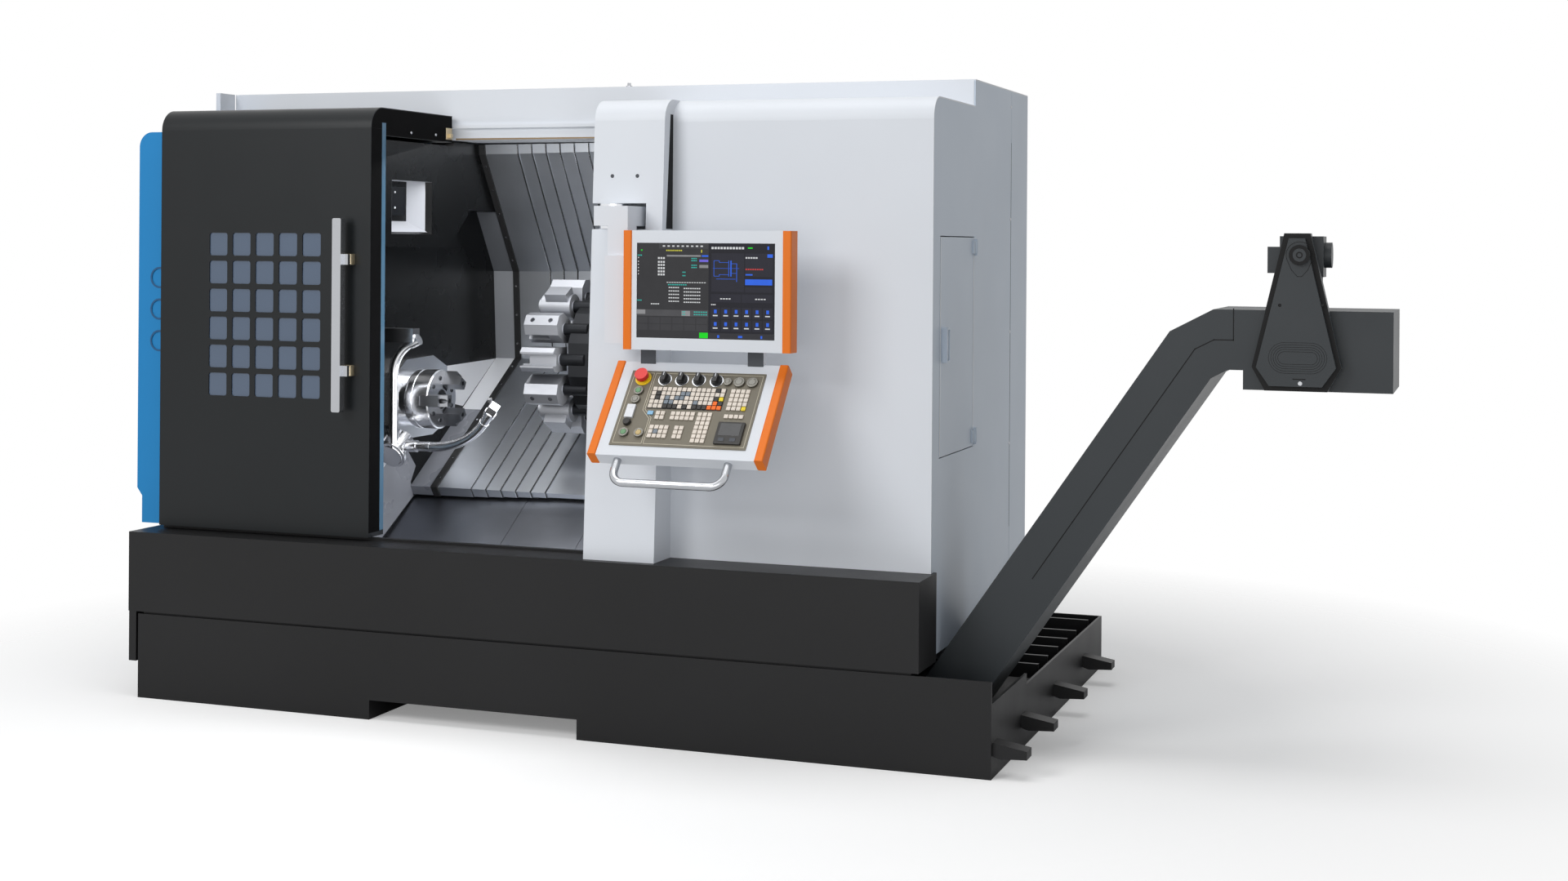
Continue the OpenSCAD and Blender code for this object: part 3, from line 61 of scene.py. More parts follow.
# Shader helpers
def srgb(r, g, b):
    def one(c):
        c = c / 255
        return c / 12.92 if c <= 0.04045 else ((c + 0.055) / 1.055) ** 2.4
    return (one(r), one(g), one(b), 1.0)


def tone(colour, k):
    return (colour[0] * k, colour[1] * k, colour[2] * k, 1.0)


def nodes_of(name):
    mat = bpy.data.materials.new(name)
    mat.use_nodes = True
    tree = mat.node_tree
    return mat, tree, tree.nodes["Principled BSDF"]


def link(tree, a, b):
    tree.links.new(a, b)


def coords(tree, scale=(1, 1, 1)):
    place = tree.nodes.new("ShaderNodeTexCoord")
    mapping = tree.nodes.new("ShaderNodeMapping")
    mapping.inputs["Scale"].default_value = scale
    link(tree, place.outputs["Object"], mapping.inputs["Vector"])
    return mapping.outputs["Vector"]


def noise(tree, vector, scale, detail=3.0, rough=0.55):
    n = tree.nodes.new("ShaderNodeTexNoise")
    n.inputs["Scale"].default_value = scale
    n.inputs["Detail"].default_value = detail
    n.inputs["Roughness"].default_value = rough
    link(tree, vector, n.inputs["Vector"])
    return n.outputs["Fac"]


def ramp(tree, fac, low, high, start=0.35, end=0.65):
    r = tree.nodes.new("ShaderNodeValToRGB")
    r.color_ramp.elements[0].position = start
    r.color_ramp.elements[0].color = low
    r.color_ramp.elements[1].position = end
    r.color_ramp.elements[1].color = high
    link(tree, fac, r.inputs["Fac"])
    return r.outputs["Color"]


def spread(tree, fac, low, high):
    m = tree.nodes.new("ShaderNodeMapRange")
    m.inputs["To Min"].default_value = low
    m.inputs["To Max"].default_value = high
    link(tree, fac, m.inputs["Value"])
    return m.outputs["Result"]


def share_of(tree, value, start, full):
    m = tree.nodes.new("ShaderNodeMapRange")
    m.inputs["From Min"].default_value = start
    m.inputs["From Max"].default_value = full
    link(tree, value, m.inputs["Value"])
    return m.outputs["Result"]


def largest(tree, first, second):
    m = tree.nodes.new("ShaderNodeMath")
    m.operation = "MAXIMUM"
    link(tree, first, m.inputs[0])
    link(tree, second, m.inputs[1])
    return m.outputs["Value"]


def bump(tree, fac, strength, distance):
    b = tree.nodes.new("ShaderNodeBump")
    b.inputs["Strength"].default_value = strength
    b.inputs["Distance"].default_value = distance / MM
    link(tree, fac, b.inputs["Height"])
    return b.outputs["Normal"]


# Noise scales for clouds of tone, patches of gloss and fine skin, and the spread of roughness
PAINT_CLOUD, PAINT_GLOSS, PAINT_SKIN, PAINT_SPREAD = 1.3, 6.0, 420.0, 0.05
MOULD_CLOUD, MOULD_GLOSS, MOULD_SKIN, MOULD_SPREAD = 9.0, 40.0, 260.0, 0.06
METAL_CLOUD, METAL_SPREAD = 3.0, (0.08, 0.1)
SKIN_DETAIL, GRAIN_DETAIL = 2.0, 4.0
COAT_ROUGH = 0.15

# Relief of orange peel, machining grain and moulded skin
PEEL_DEPTH, GRAIN_DEPTH, MOULD_DEPTH, MOULD_STRENGTH = 0.4, 0.3, 0.2, 0.15

# Dark glass in front of the screen's light
GLASS_COLOUR, GLASS_ROUGH, GLASS_SHINE = (0.01, 0.01, 0.012, 1.0), 0.35, 0.15
GLOW_CLOUD, GLOW_VARY = 30.0, 0.06


def dress(tree, bsdf, colour, vary, cloud, rough, grain, strength, depth):
    shade = ramp(tree, cloud, tone(colour, 1 - vary), tone(colour, 1 + vary))
    link(tree, shade, bsdf.inputs["Base Color"])
    link(tree, rough, bsdf.inputs["Roughness"])
    link(tree, bump(tree, grain, strength, depth), bsdf.inputs["Normal"])


def painted(name, colour, rough=0.4, peel=0.12, vary=0.06, coat=0.0, shine=0.5):
    mat, tree, bsdf = nodes_of(name)
    vector = coords(tree)
    cloud = noise(tree, vector, PAINT_CLOUD)
    matt = spread(tree, noise(tree, vector, PAINT_GLOSS), rough - PAINT_SPREAD, rough + PAINT_SPREAD)
    skin = noise(tree, vector, PAINT_SKIN, SKIN_DETAIL)
    dress(tree, bsdf, colour, vary, cloud, matt, skin, peel, PEEL_DEPTH)
    bsdf.inputs["Specular IOR Level"].default_value = shine
    bsdf.inputs["Coat Weight"].default_value = coat
    bsdf.inputs["Coat Roughness"].default_value = COAT_ROUGH
    return mat


def metal(name, colour, rough=0.3, grain=(1, 1, 60), scale=30.0, vary=0.08, strength=0.08):
    mat, tree, bsdf = nodes_of(name)
    lines = noise(tree, coords(tree, grain), scale, GRAIN_DETAIL)
    cloud = noise(tree, coords(tree), METAL_CLOUD)
    matt = spread(tree, lines, rough - METAL_SPREAD[0], rough + METAL_SPREAD[1])
    dress(tree, bsdf, colour, vary, cloud, matt, lines, strength, GRAIN_DEPTH)
    bsdf.inputs["Metallic"].default_value = 1.0
    return mat


def moulded(name, colour, rough=0.45, vary=0.05):
    mat, tree, bsdf = nodes_of(name)
    vector = coords(tree)
    cloud = noise(tree, vector, MOULD_CLOUD)
    matt = spread(tree, noise(tree, vector, MOULD_GLOSS), rough - MOULD_SPREAD, rough + MOULD_SPREAD)
    skin = noise(tree, vector, MOULD_SKIN, SKIN_DETAIL)
    dress(tree, bsdf, colour, vary, cloud, matt, skin, MOULD_STRENGTH, MOULD_DEPTH)
    return mat


def glowing(name, colour, strength):
    mat, tree, bsdf = nodes_of(name)
    cloud = noise(tree, coords(tree), GLOW_CLOUD)
    shade = ramp(tree, cloud, tone(colour, 1 - GLOW_VARY), tone(colour, 1 + GLOW_VARY))
    bsdf.inputs["Base Color"].default_value = GLASS_COLOUR
    bsdf.inputs["Roughness"].default_value = GLASS_ROUGH
    bsdf.inputs["Specular IOR Level"].default_value = GLASS_SHINE
    link(tree, shade, bsdf.inputs["Emission Color"])
    bsdf.inputs["Emission Strength"].default_value = strength
    return mat


def second_tone(mat, axis, start, full, colour):
    tree = mat.node_tree
    base = tree.nodes["Principled BSDF"].inputs["Base Color"]
    split = tree.nodes.new("ShaderNodeSeparateXYZ")
    link(tree, coords(tree), split.inputs["Vector"])
    blend = tree.nodes.new("ShaderNodeMix")
    blend.data_type = "RGBA"
    link(tree, share_of(tree, split.outputs[axis], start, full), blend.inputs["Factor"])
    link(tree, base.links[0].from_socket, blend.inputs[6])
    blend.inputs[7].default_value = colour
    link(tree, blend.outputs[2], base)


# Paints and metals
WHITE = painted("white_paint", srgb(222, 226, 232), rough=0.42, peel=0.1, vary=0.02, shine=0.3)
# Right side white: a darker, bluer copy of the front white, as painted shade for the side that faces away
# from the key light
SHADED_SIDE_WHITE = painted("side_white_painted_shade", srgb(198, 209, 222), rough=0.4, peel=0.1, vary=0.03, shine=0.3)
BLACK = painted("black_paint", srgb(22, 22, 23), rough=0.42, peel=0.3, vary=0.12, shine=0.28)
TANK = painted("tank_paint", srgb(22, 22, 23), rough=0.45, peel=0.35, vary=0.12, shine=0.28)
DOOR = painted("door_paint", srgb(22, 25, 27), rough=0.36, peel=0.2, vary=0.1, shine=0.28)
CONVEYOR = painted("conveyor_paint", srgb(48, 52, 55), rough=0.45, peel=0.3, vary=0.08, shine=0.3)
BLUE = painted("blue_paint", srgb(36, 136, 200), rough=0.42, peel=0.12, vary=0.03, shine=0.3)
ORANGE = painted("orange_trim", srgb(232, 118, 24), rough=0.4, peel=0.1, vary=0.03, shine=0.3)
WALL = painted("chamber_paint", srgb(12, 13, 14), rough=0.28, peel=0.12, vary=0.1, shine=0.22)
CAST = painted("casting_paint", srgb(150, 154, 158), rough=0.55, peel=0.4, vary=0.08)
# Flange, slope, upright and lower panel greys: one polished sheet painted in four greys, as painted
# reflections of the light
FLANGE = painted("flange_painted_reflection", srgb(236, 238, 242), rough=0.3, peel=0.08, vary=0.02, coat=0.2)
SLOPE = painted("flange_slope_painted_reflection", srgb(104, 107, 112), rough=0.35, peel=0.08, vary=0.08)
UPRIGHT = painted("flange_upright_painted_reflection", srgb(156, 159, 164), rough=0.35, peel=0.08, vary=0.05)
LOWER = painted("lower_panel_painted_reflection", srgb(138, 141, 149), rough=0.28, peel=0.08, vary=0.05, coat=0.2)
PANE = painted("window_pane", srgb(78, 94, 116), rough=0.2, peel=0.02, vary=0.05, coat=0.4)
EDGE = painted("door_edge_paint", srgb(70, 106, 132), rough=0.35, peel=0.08, vary=0.08)
# Door end: near-black, as painted shadow on the end face in shade
SHADE = painted("door_end_painted_shadow", srgb(8, 8, 9), rough=0.7, peel=0.1, vary=0.1, shine=0.05)
# Black for seams, lines and screws, also used as painted shadow on the column's side
SEAM_AND_SHADOW = painted("seam_and_shadow_black", srgb(9, 9, 10), rough=0.55, peel=0.1, vary=0.1, shine=0.2)
LIP = painted("lip_bronze", srgb(132, 108, 74), rough=0.4, peel=0.1, vary=0.08)
PORT = painted("port_blue", srgb(20, 84, 130), rough=0.45, peel=0.1, vary=0.05)
# Pale white for pointers, plates and screws, also used as painted highlight on the access door's edges
PALE_PAINT_AND_HIGHLIGHT = painted("pale_paint_and_highlight", srgb(228, 230, 234), rough=0.4)
LINING = painted("lamp_lining_paint", srgb(176, 179, 186), rough=0.45)
STEEL = metal("cover_steel", srgb(190, 194, 200), rough=0.4, grain=(1, 14, 14), scale=24.0)
CHUTE = metal("chute_steel", srgb(126, 129, 136), rough=0.34, grain=(1, 10, 10), scale=24.0)
MACHINED = metal("machined_steel", srgb(206, 208, 212), rough=0.24, grain=(40, 1, 1))
TOOL = metal("tool_steel", srgb(150, 152, 157), rough=0.48, grain=(1, 40, 1))
# Dark steel, also used as painted shadow on the monitor's necks
DARK_STEEL_AND_SHADE = metal("dark_steel", srgb(70, 72, 76), rough=0.38, grain=(1, 1, 20), scale=40.0)
JAW = metal("jaw_steel", srgb(132, 134, 138), rough=0.34, grain=(1, 1, 20), scale=40.0)
# Turret disc: dark steel made darker still, as painted shade for the disc's face in shadow
DISC = metal("turret_dark_steel_and_shade", srgb(40, 41, 43), rough=0.4, grain=(1, 1, 20), scale=40.0)
CHROME = metal("chrome", srgb(226, 228, 232), rough=0.14, grain=(1, 1, 1), vary=0.03, strength=0.02)
BEZEL = metal("bezel_steel", srgb(128, 126, 120), rough=0.4, grain=(1, 1, 1), vary=0.03, strength=0.02)
SATIN = metal("satin_tube", srgb(182, 184, 188), 0.2, (1, 1, 8), scale=60.0, vary=0.02, strength=0.01)
BRASS = metal("standoff_brass", srgb(216, 200, 168), 0.4, (1, 1, 12), scale=40.0, vary=0.06, strength=0.05)
BRIGHT = metal("bright_steel", srgb(232, 233, 236), 0.22, (1, 1, 6), scale=40.0, vary=0.04, strength=0.05)
RUBBER = moulded("rubber", srgb(28, 28, 29), rough=0.6)
KNOB = moulded("knob_plastic", srgb(24, 25, 27), rough=0.4)
MEMBRANE = moulded("membrane", srgb(112, 106, 92), rough=0.5, vary=0.04)
KEY_CREAM = moulded("key_cream", srgb(224, 214, 202), rough=0.5)
KEY_GREY = moulded("key_grey", srgb(120, 130, 140), rough=0.5)
KEY_BLUE = moulded("key_blue", srgb(140, 188, 222), rough=0.5)
KEY_YELLOW = moulded("key_yellow", srgb(240, 214, 40), rough=0.5)
KEY_ORANGE = moulded("key_orange", srgb(240, 110, 20), rough=0.5)
KEY_BLACK = moulded("key_black", srgb(32, 30, 28), rough=0.5)
RED = moulded("stop_red", srgb(226, 44, 40), rough=0.3)
YELLOW = moulded("stop_yellow", srgb(244, 206, 30), rough=0.4)
LINE = moulded("cream_line", srgb(214, 206, 186), rough=0.5)
DISPLAY = moulded("display_glass", srgb(18, 20, 24), rough=0.15)
PAINT = {
    "coolant_tank": TANK, "levelling_feet": DARK_STEEL_AND_SHADE, "bed_casting": CAST, "base_skirt": BLACK,
    "left_cover": BLUE, "roof_panel": WHITE, "electrical_cabinet": WHITE, "right_front_panel": WHITE,
    "right_side_panel": SHADED_SIDE_WHITE, "access_door": SHADED_SIDE_WHITE, "column_panel": WHITE, "left_wall": WALL,
    "right_wall": WALL, "nose_cover": BRIGHT, "work_light": DISPLAY, "way_seal": RUBBER,
    "chip_chute": CHUTE, "carriage_cover": STEEL, "headstock": CAST, "spindle": MACHINED,
    "chuck_cylinder": DARK_STEEL_AND_SHADE, "chuck_body": BRIGHT, "jaw_1": JAW, "jaw_2": JAW, "jaw_3": JAW,
    "spindle_motor": DARK_STEEL_AND_SHADE, "motor_pulley": MACHINED, "drive_belt": RUBBER, "carriage": CAST,
    "cross_slide": STEEL, "turret_disc": DISC, "tool_holders": TOOL, "tool_setter_base": BRIGHT,
    "tool_setter_arm": BRIGHT, "door_panel": DOOR, "door_windows": PANE, "door_handle": SATIN,
    "console_arm": WHITE, "monitor_housing": WHITE, "screen": DISPLAY, "console_stripes": ORANGE,
    "keyboard_box": WHITE, "keypad": MEMBRANE, "console_handle": SATIN, "estop_button": RED,
    "knob_1": KNOB, "knob_2": KNOB, "knob_3": KNOB, "knob_4": KNOB, "conveyor_trough": CONVEYOR,
    "conveyor_cover": CONVEYOR, "conveyor_belt": DARK_STEEL_AND_SHADE, "conveyor_shaft": MACHINED,
    "conveyor_drive": CONVEYOR,
}
COVERS = 6
for k in range(1, COVERS + 1):
    PAINT["way_cover_%d" % k] = STEEL

# Black tool shanks on the pale holders, from this X to the disc
SHANK_X = (1313, 1314)
to_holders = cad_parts["tool_holders"].matrix_world.inverted()
shank_from, shank_to = ((to_holders @ at(x, 0, 0)).x for x in SHANK_X)
second_tone(TOOL, "X", shank_from, shank_to, srgb(34, 35, 37))
for name, mat in PAINT.items():
    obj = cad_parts[name]
    obj.data.materials.clear()
    obj.data.materials.append(mat)


# Mesh helpers: corners and centres are places from at(), sizes are in millimetres
def add_box(bm, lo, hi, turn=None):
    made = bmesh.ops.create_cube(bm, size=1.0)["verts"]
    bmesh.ops.scale(bm, vec=hi - lo, verts=made)
    bmesh.ops.translate(bm, vec=(lo + hi) / 2, verts=made)
    if turn is not None:
        bmesh.ops.transform(bm, matrix=turn, verts=made)


def add_disc(bm, centre, axis, radius, depth, segments=24, top=None):
    turn = Vector(axis).to_track_quat("Z", "Y").to_matrix().to_4x4()
    end = radius if top is None else top
    made = bmesh.ops.create_cone(
        bm, cap_ends=True, segments=segments, radius1=radius / MM, radius2=end / MM, depth=depth / MM
    )["verts"]
    bmesh.ops.transform(bm, matrix=Matrix.Translation(centre) @ turn, verts=made)


def add_ring(bm, turn, inner, outer, low, high, segments=32):
    loops = []
    for radius, z in ((inner, low), (outer, low), (outer, high), (inner, high)):
        angles = [2 * math.pi * k / segments for k in range(segments)]
        spots = [Vector((radius * math.cos(a), radius * math.sin(a), z)) / MM for a in angles]
        loops.append([bm.verts.new(turn @ p) for p in spots])
    for j in range(4):
        one, two = loops[j], loops[(j + 1) % 4]
        for k in range(segments):
            n = (k + 1) % segments
            bm.faces.new((one[k], one[n], two[n], two[k]))
    bmesh.ops.recalc_face_normals(bm, faces=bm.faces)


def add_prism(bm, outline, reach):
    low = [bm.verts.new(p) for p in outline]
    high = [bm.verts.new(p + Vector(reach) / MM) for p in outline]
    bm.faces.new(low)
    bm.faces.new(high[::-1])
    for k in range(len(low)):
        n = (k + 1) % len(low)
        bm.faces.new((low[k], high[k], high[n], low[n]))
    bmesh.ops.recalc_face_normals(bm, faces=bm.faces)


def piece(name, bm, mat, body, bevel=0.0):
    mesh = bpy.data.meshes.new(name)
    bm.to_mesh(mesh)
    bm.free()
    obj = bpy.data.objects.new(name, mesh)
    bpy.context.collection.objects.link(obj)
    mesh.materials.append(mat)
    if bevel:
        mod = obj.modifiers.new("edges", "BEVEL")
        mod.width = bevel / MM
        mod.segments = 2
        mod.limit_method = "ANGLE"
    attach(obj, body)
    return obj


# One piece made of boxes, each from its low to its high corner
def boxes(name, corners, mat, body, bevel):
    bm = bmesh.new()
    for lo, hi in corners:
        add_box(bm, at(*lo), at(*hi))
    piece(name, bm, mat, body, bevel)


# One piece made of thin plates that stand at X, outlined in Y and Z
def side_plates(name, x, outlines, thick, mat, body):
    bm = bmesh.new()
    for outline in outlines:
        add_prism(bm, [at(x, y, z) for y, z in outline], (thick, 0, 0))
    piece(name, bm, mat, body)


SCREW_SIDES, SCREW_TAPER = 20, 0.82


# One piece made of screw heads that stand out along the axis
def screws(name, body, spots, axis, radius, depth, mat):
    bm = bmesh.new()
    for spot in spots:
        centre = spot + Vector(axis) * depth / 2 / MM
        add_disc(bm, centre, axis, radius, depth, SCREW_SIDES, radius * SCREW_TAPER)
    piece(name, bm, mat, body)


# Camera at the photograph's viewpoint
CAMERA_AT = at(4263.035, -5596.84, 1514.925)
YAW, PITCH, ROLL = math.radians(19.568), math.radians(-0.076), math.radians(0.4)
FOCAL_PX, WIDE_PX, HIGH_PX = 2472.778, 1920, 1079
MID_X, MID_Y = 963.127, 296.906
SENSOR = 36
ahead = Vector((-math.sin(YAW), math.cos(YAW), 0))
right = Vector((math.cos(YAW), math.sin(YAW), 0))
up = Vector(UP)
look = ahead * math.cos(PITCH) - up * math.sin(PITCH)
over = up * math.cos(PITCH) + ahead * math.sin(PITCH)
cam_x = right * math.cos(ROLL) + over * math.sin(ROLL)
cam_y = over * math.cos(ROLL) - right * math.sin(ROLL)
cam_data = bpy.data.cameras.new("photo_camera")
cam_data.sensor_width = SENSOR
cam_data.sensor_fit = "HORIZONTAL"
cam_data.lens = SENSOR * FOCAL_PX / WIDE_PX
cam_data.shift_x = (WIDE_PX / 2 - MID_X) / WIDE_PX
cam_data.shift_y = (MID_Y - HIGH_PX / 2) / WIDE_PX
cam_data.clip_end = 100
camera = bpy.data.objects.new("photo_camera", cam_data)
camera.matrix_world = Matrix.Translation(CAMERA_AT) @ Matrix((cam_x, cam_y, -look)).transposed().to_4x4()
bpy.context.collection.objects.link(camera)
scene.camera = camera

# Pale floor that fades into the white surroundings, in metres from the middle
FLOOR_R, FLOOR_FADE = 9, (1.7, 3.4)
FLOOR_LIFT = 0.22
FLOOR_COLOUR = (0.94, 0.94, 0.94, 1)
floor_mesh = bpy.data.meshes.new("floor")
bm = bmesh.new()
bmesh.ops.create_circle(bm, cap_ends=True, segments=64, radius=FLOOR_R)
bm.to_mesh(floor_mesh)
bm.free()
floor = bpy.data.objects.new("floor", floor_mesh)
bpy.context.collection.objects.link(floor)
floor_mat, tree, bsdf = nodes_of("floor")
tree.nodes.remove(bsdf)
paper = tree.nodes.new("ShaderNodeBsdfDiffuse")
paper.inputs["Color"].default_value = FLOOR_COLOUR
lift = tree.nodes.new("ShaderNodeEmission")
eye = tree.nodes.new("ShaderNodeLightPath")
link(tree, spread(tree, eye.outputs["Is Camera Ray"], 0.0, FLOOR_LIFT), lift.inputs["Strength"])
both = tree.nodes.new("ShaderNodeAddShader")
link(tree, paper.outputs["BSDF"], both.inputs[0])
link(tree, lift.outputs["Emission"], both.inputs[1])
clear = tree.nodes.new("ShaderNodeBsdfTransparent")
far = tree.nodes.new("ShaderNodeVectorMath")
far.operation = "LENGTH"
link(tree, coords(tree), far.inputs[0])
mixed = tree.nodes.new("ShaderNodeMixShader")
link(tree, share_of(tree, far.outputs["Value"], *FLOOR_FADE), mixed.inputs["Fac"])
link(tree, both.outputs["Shader"], mixed.inputs[1])
link(tree, clear.outputs["BSDF"], mixed.inputs[2])
link(tree, mixed.outputs["Shader"], tree.nodes["Material Output"].inputs["Surface"])
floor_mesh.materials.append(floor_mat)

# White surroundings for the eye and for mirrors, dimmer ones for the light
AMBIENT, AMBIENT_COLOUR = 0.3, (0.97, 0.985, 1.0, 1)
world = bpy.data.worlds.new("studio")
scene.world = world
world.use_nodes = True
tree = world.node_tree
back = tree.nodes["Background"]
back.inputs["Color"].default_value = (1, 1, 1, 1)
back.inputs["Strength"].default_value = 1.0
dim = tree.nodes.new("ShaderNodeBackground")
dim.inputs["Color"].default_value = AMBIENT_COLOUR
dim.inputs["Strength"].default_value = AMBIENT
rays = tree.nodes.new("ShaderNodeLightPath")
seen = largest(tree, rays.outputs["Is Camera Ray"], rays.outputs["Is Transmission Ray"])
pick = tree.nodes.new("ShaderNodeMixShader")
link(tree, largest(tree, seen, rays.outputs["Is Glossy Ray"]), pick.inputs["Fac"])
link(tree, dim.outputs["Background"], pick.inputs[1])
link(tree, back.outputs["Background"], pick.inputs[2])
link(tree, pick.outputs["Shader"], tree.nodes["World Output"].inputs["Surface"])


# Soft studio lights, in metres and watts
def soft_light(name, spot, target, size, power):
    data = bpy.data.lights.new(name, "AREA")
    data.shape = "RECTANGLE"
    data.size, data.size_y = size
    data.energy = power
    obj = bpy.data.objects.new(name, data)
    obj.location = spot
    obj.rotation_euler = (target - spot).to_track_quat("-Z", "Y").to_euler()
    bpy.context.collection.objects.link(obj)
    return obj


AIM = Vector((0, 0, 1.0))
soft_light("key_light", Vector((-2.6, -6.2, 4.4)), AIM, size=(3.0, 2.4), power=190)
soft_light("front_light", Vector((1.6, -7.0, 1.6)), AIM, size=(5.0, 2.6), power=75)
soft_light("top_light", Vector((0.0, -1.0, 6.0)), AIM, size=(5.0, 3.0), power=110)
inside = soft_light("chamber_light", at(1180, 420, 1835), at(1180, 640, 700), size=(0.9, 0.4), power=4)
beside = soft_light("chamber_side_light", at(1560, 330, 1050), at(718, 560, 800), size=(0.4, 0.9), power=7)
inside.visible_camera = False
beside.visible_camera = False

# Screen picture: plain fields of colour, placed by shares of the screen from its upper left corner
screen_low, screen_high = box_of("screen")
SCREEN_W, SCREEN_H = screen_high.x - screen_low.x, screen_high.z - screen_low.z
FIELD_T = 0.25


def fields(name, colour, level, spots, strength=0.8):
    front = screen_low.y - FIELD_T * level
    bm = bmesh.new()
    for u0, v0, u1, v1 in spots:
        lo = at(screen_low.x + u0 * SCREEN_W, front - FIELD_T, screen_high.z - v1 * SCREEN_H)
        hi = at(screen_low.x + u1 * SCREEN_W, front, screen_high.z - v0 * SCREEN_H)
        add_box(bm, lo, hi)
    piece(name, bm, glowing(name, srgb(*colour), strength), "console")


# A row of short marks that stand for text
def dashes(u0, u1, v, count, height=0.012, fill=0.72):
    step = (u1 - u0) / count
    return [(u0 + step * k, v, u0 + step * (k + fill), v + height) for k in range(count)]


# Equal fields in columns and rows
def grid(u, v, steps, counts, size):
    spots = [(u + steps[0] * i, v + steps[1] * j) for i in range(counts[0]) for j in range(counts[1])]
    return [(a, b, a + size[0], b + size[1]) for a, b in spots]


HALF_U = 0.524
DATA_ROWS = (0.15, 0.19, 0.222, 0.256, 0.29, 0.322)
LIST_ROWS = (0.462, 0.498, 0.534, 0.57, 0.606)
TEAL_ROWS, TEAL_MARKS, TEAL_PAIRS = (0.155, 0.178, 0.226, 0.25), (0.3, 0.336), (0.715, 0.742)
tiles = grid(0.542, 0.67, (0.0748, 0.13), (6, 2), (0.066, 0.115))
fields("screen_left", (50, 50, 51), 0, [(0, 0, HALF_U, 1)])
fields("screen_right", (22, 22, 30), 0, [(HALF_U + 0.002, 0, 1, 1)])
fields("screen_tabs", (62, 62, 64), 1, grid(0.162, 0.004, (0.0455, 0), (8, 1), (0.042, 0.056)))
fields("screen_strip", (80, 80, 82), 1, [(0, 0.702, HALF_U, 0.768)])
fields("screen_cells", (60, 60, 62), 1, grid(0.003, 0.782, (0.087, 0.072), (6, 2), (0.08, 0.064)))
fields("screen_pale", (158, 158, 160), 2, [
    (0, 0.704, 0.064, 0.75), (0.33, 0.71, 0.392, 0.764), (0.22, 0.126, 0.468, 0.143),
    (0.458, 0.228, 0.522, 0.26),
], 0.7)
fields("screen_panels", (36, 36, 46), 1, [
    (0.545, 0.105, 0.78, 0.505), (0.788, 0.105, 0.985, 0.345), (0.542, 0.53, 0.758, 0.615),
    (0.764, 0.53, 0.985, 0.615), (0.788, 0.455, 0.98, 0.508),
] + tiles)
fields("screen_foot", (48, 48, 52), 1, [(HALF_U + 0.002, 0.937, 1, 1)])
white_rows = dashes(0.19, 0.5, 0.026, 9, 0.014, 0.5) + dashes(0.545, 0.785, 0.038, 11, 0.024)
white_rows += dashes(0.22, 0.51, 0.41, 16, 0.008) + dashes(0.79, 0.88, 0.142, 5, 0.016)
for v in DATA_ROWS:
    white_rows += dashes(0.155, 0.21, v, 3, 0.02) + [(0.008, v, 0.014, v + 0.012)]
for v in LIST_ROWS:
    white_rows += dashes(0.235, 0.315, v, 5) + dashes(0.345, 0.47, v + 0.008, 8)
white_rows += dashes(0.105, 0.17, 0.636, 4)
white_rows += [(u + 0.016, v + 0.078, u + 0.05, v + 0.09) for u, v, _, _ in tiles]
white_rows += dashes(0.61, 0.69, 0.572, 4) + dashes(0.86, 0.94, 0.572, 4) + dashes(0.545, 0.58, 0.634, 3)
fields("screen_white", (226, 228, 230), 2, white_rows)
teal_rows = dashes(0.005, 0.04, 0.125, 3) + dashes(0.005, 0.04, 0.6, 3) + dashes(0.23, 0.37, 0.432, 9)
for v in TEAL_ROWS:
    teal_rows += dashes(0.4, 0.442, v, 4)
for v in TEAL_MARKS + TEAL_PAIRS:
    teal_rows += dashes(0.335, 0.36, v, 3)
    if v in TEAL_PAIRS:
        teal_rows += dashes(0.42, 0.52, v, 6)
fields("screen_teal", (52, 190, 178), 3, teal_rows)
yellow_rows = dashes(0.215, 0.335, 0.072, 8, 0.014) + [(0.47, 0.07, 0.477, 0.1)]
fields("screen_yellow", (214, 208, 60), 2, yellow_rows)
fields("screen_green", (0, 232, 20), 2, [
    (0.46, 0.935, 0.522, 0.992), (0.806, 0.042, 0.84, 0.055), (0.03, 0.07, 0.04, 0.084),
])
fields("screen_purple", (122, 108, 236), 2, [(0.458, 0.172, 0.522, 0.197)])
fields("screen_red", (210, 62, 60), 2, dashes(0.79, 0.92, 0.262, 8, 0.014))
drawing = [
    (0.562, 0.18, 0.565, 0.345), (0.562, 0.18, 0.6, 0.184), (0.562, 0.341, 0.6, 0.345),
    (0.6, 0.18, 0.603, 0.2), (0.6, 0.325, 0.603, 0.345), (0.603, 0.198, 0.668, 0.202),
    (0.603, 0.325, 0.668, 0.329), (0.668, 0.18, 0.672, 0.345), (0.682, 0.18, 0.69, 0.345),
    (0.69, 0.21, 0.725, 0.214), (0.69, 0.31, 0.725, 0.314), (0.725, 0.21, 0.729, 0.4),
    (0.555, 0.26, 0.745, 0.263), (0.58, 0.37, 0.72, 0.374),
]
icons = [(u + 0.024, v + 0.022, u + 0.043, v + 0.06) for u, v, _, _ in tiles]
fields("screen_blue", (44, 108, 244), 2, drawing + icons + [
    (0.475, 0.126, 0.522, 0.143), (0.788, 0.372, 0.98, 0.432), (0.945, 0.112, 0.983, 0.146),
    (0.79, 0.318, 0.84, 0.332), (0.945, 0.03, 0.957, 0.065), (0.59, 0.957, 0.605, 0.985),
    (0.74, 0.96, 0.77, 0.982), (0.9, 0.957, 0.912, 0.985),
])

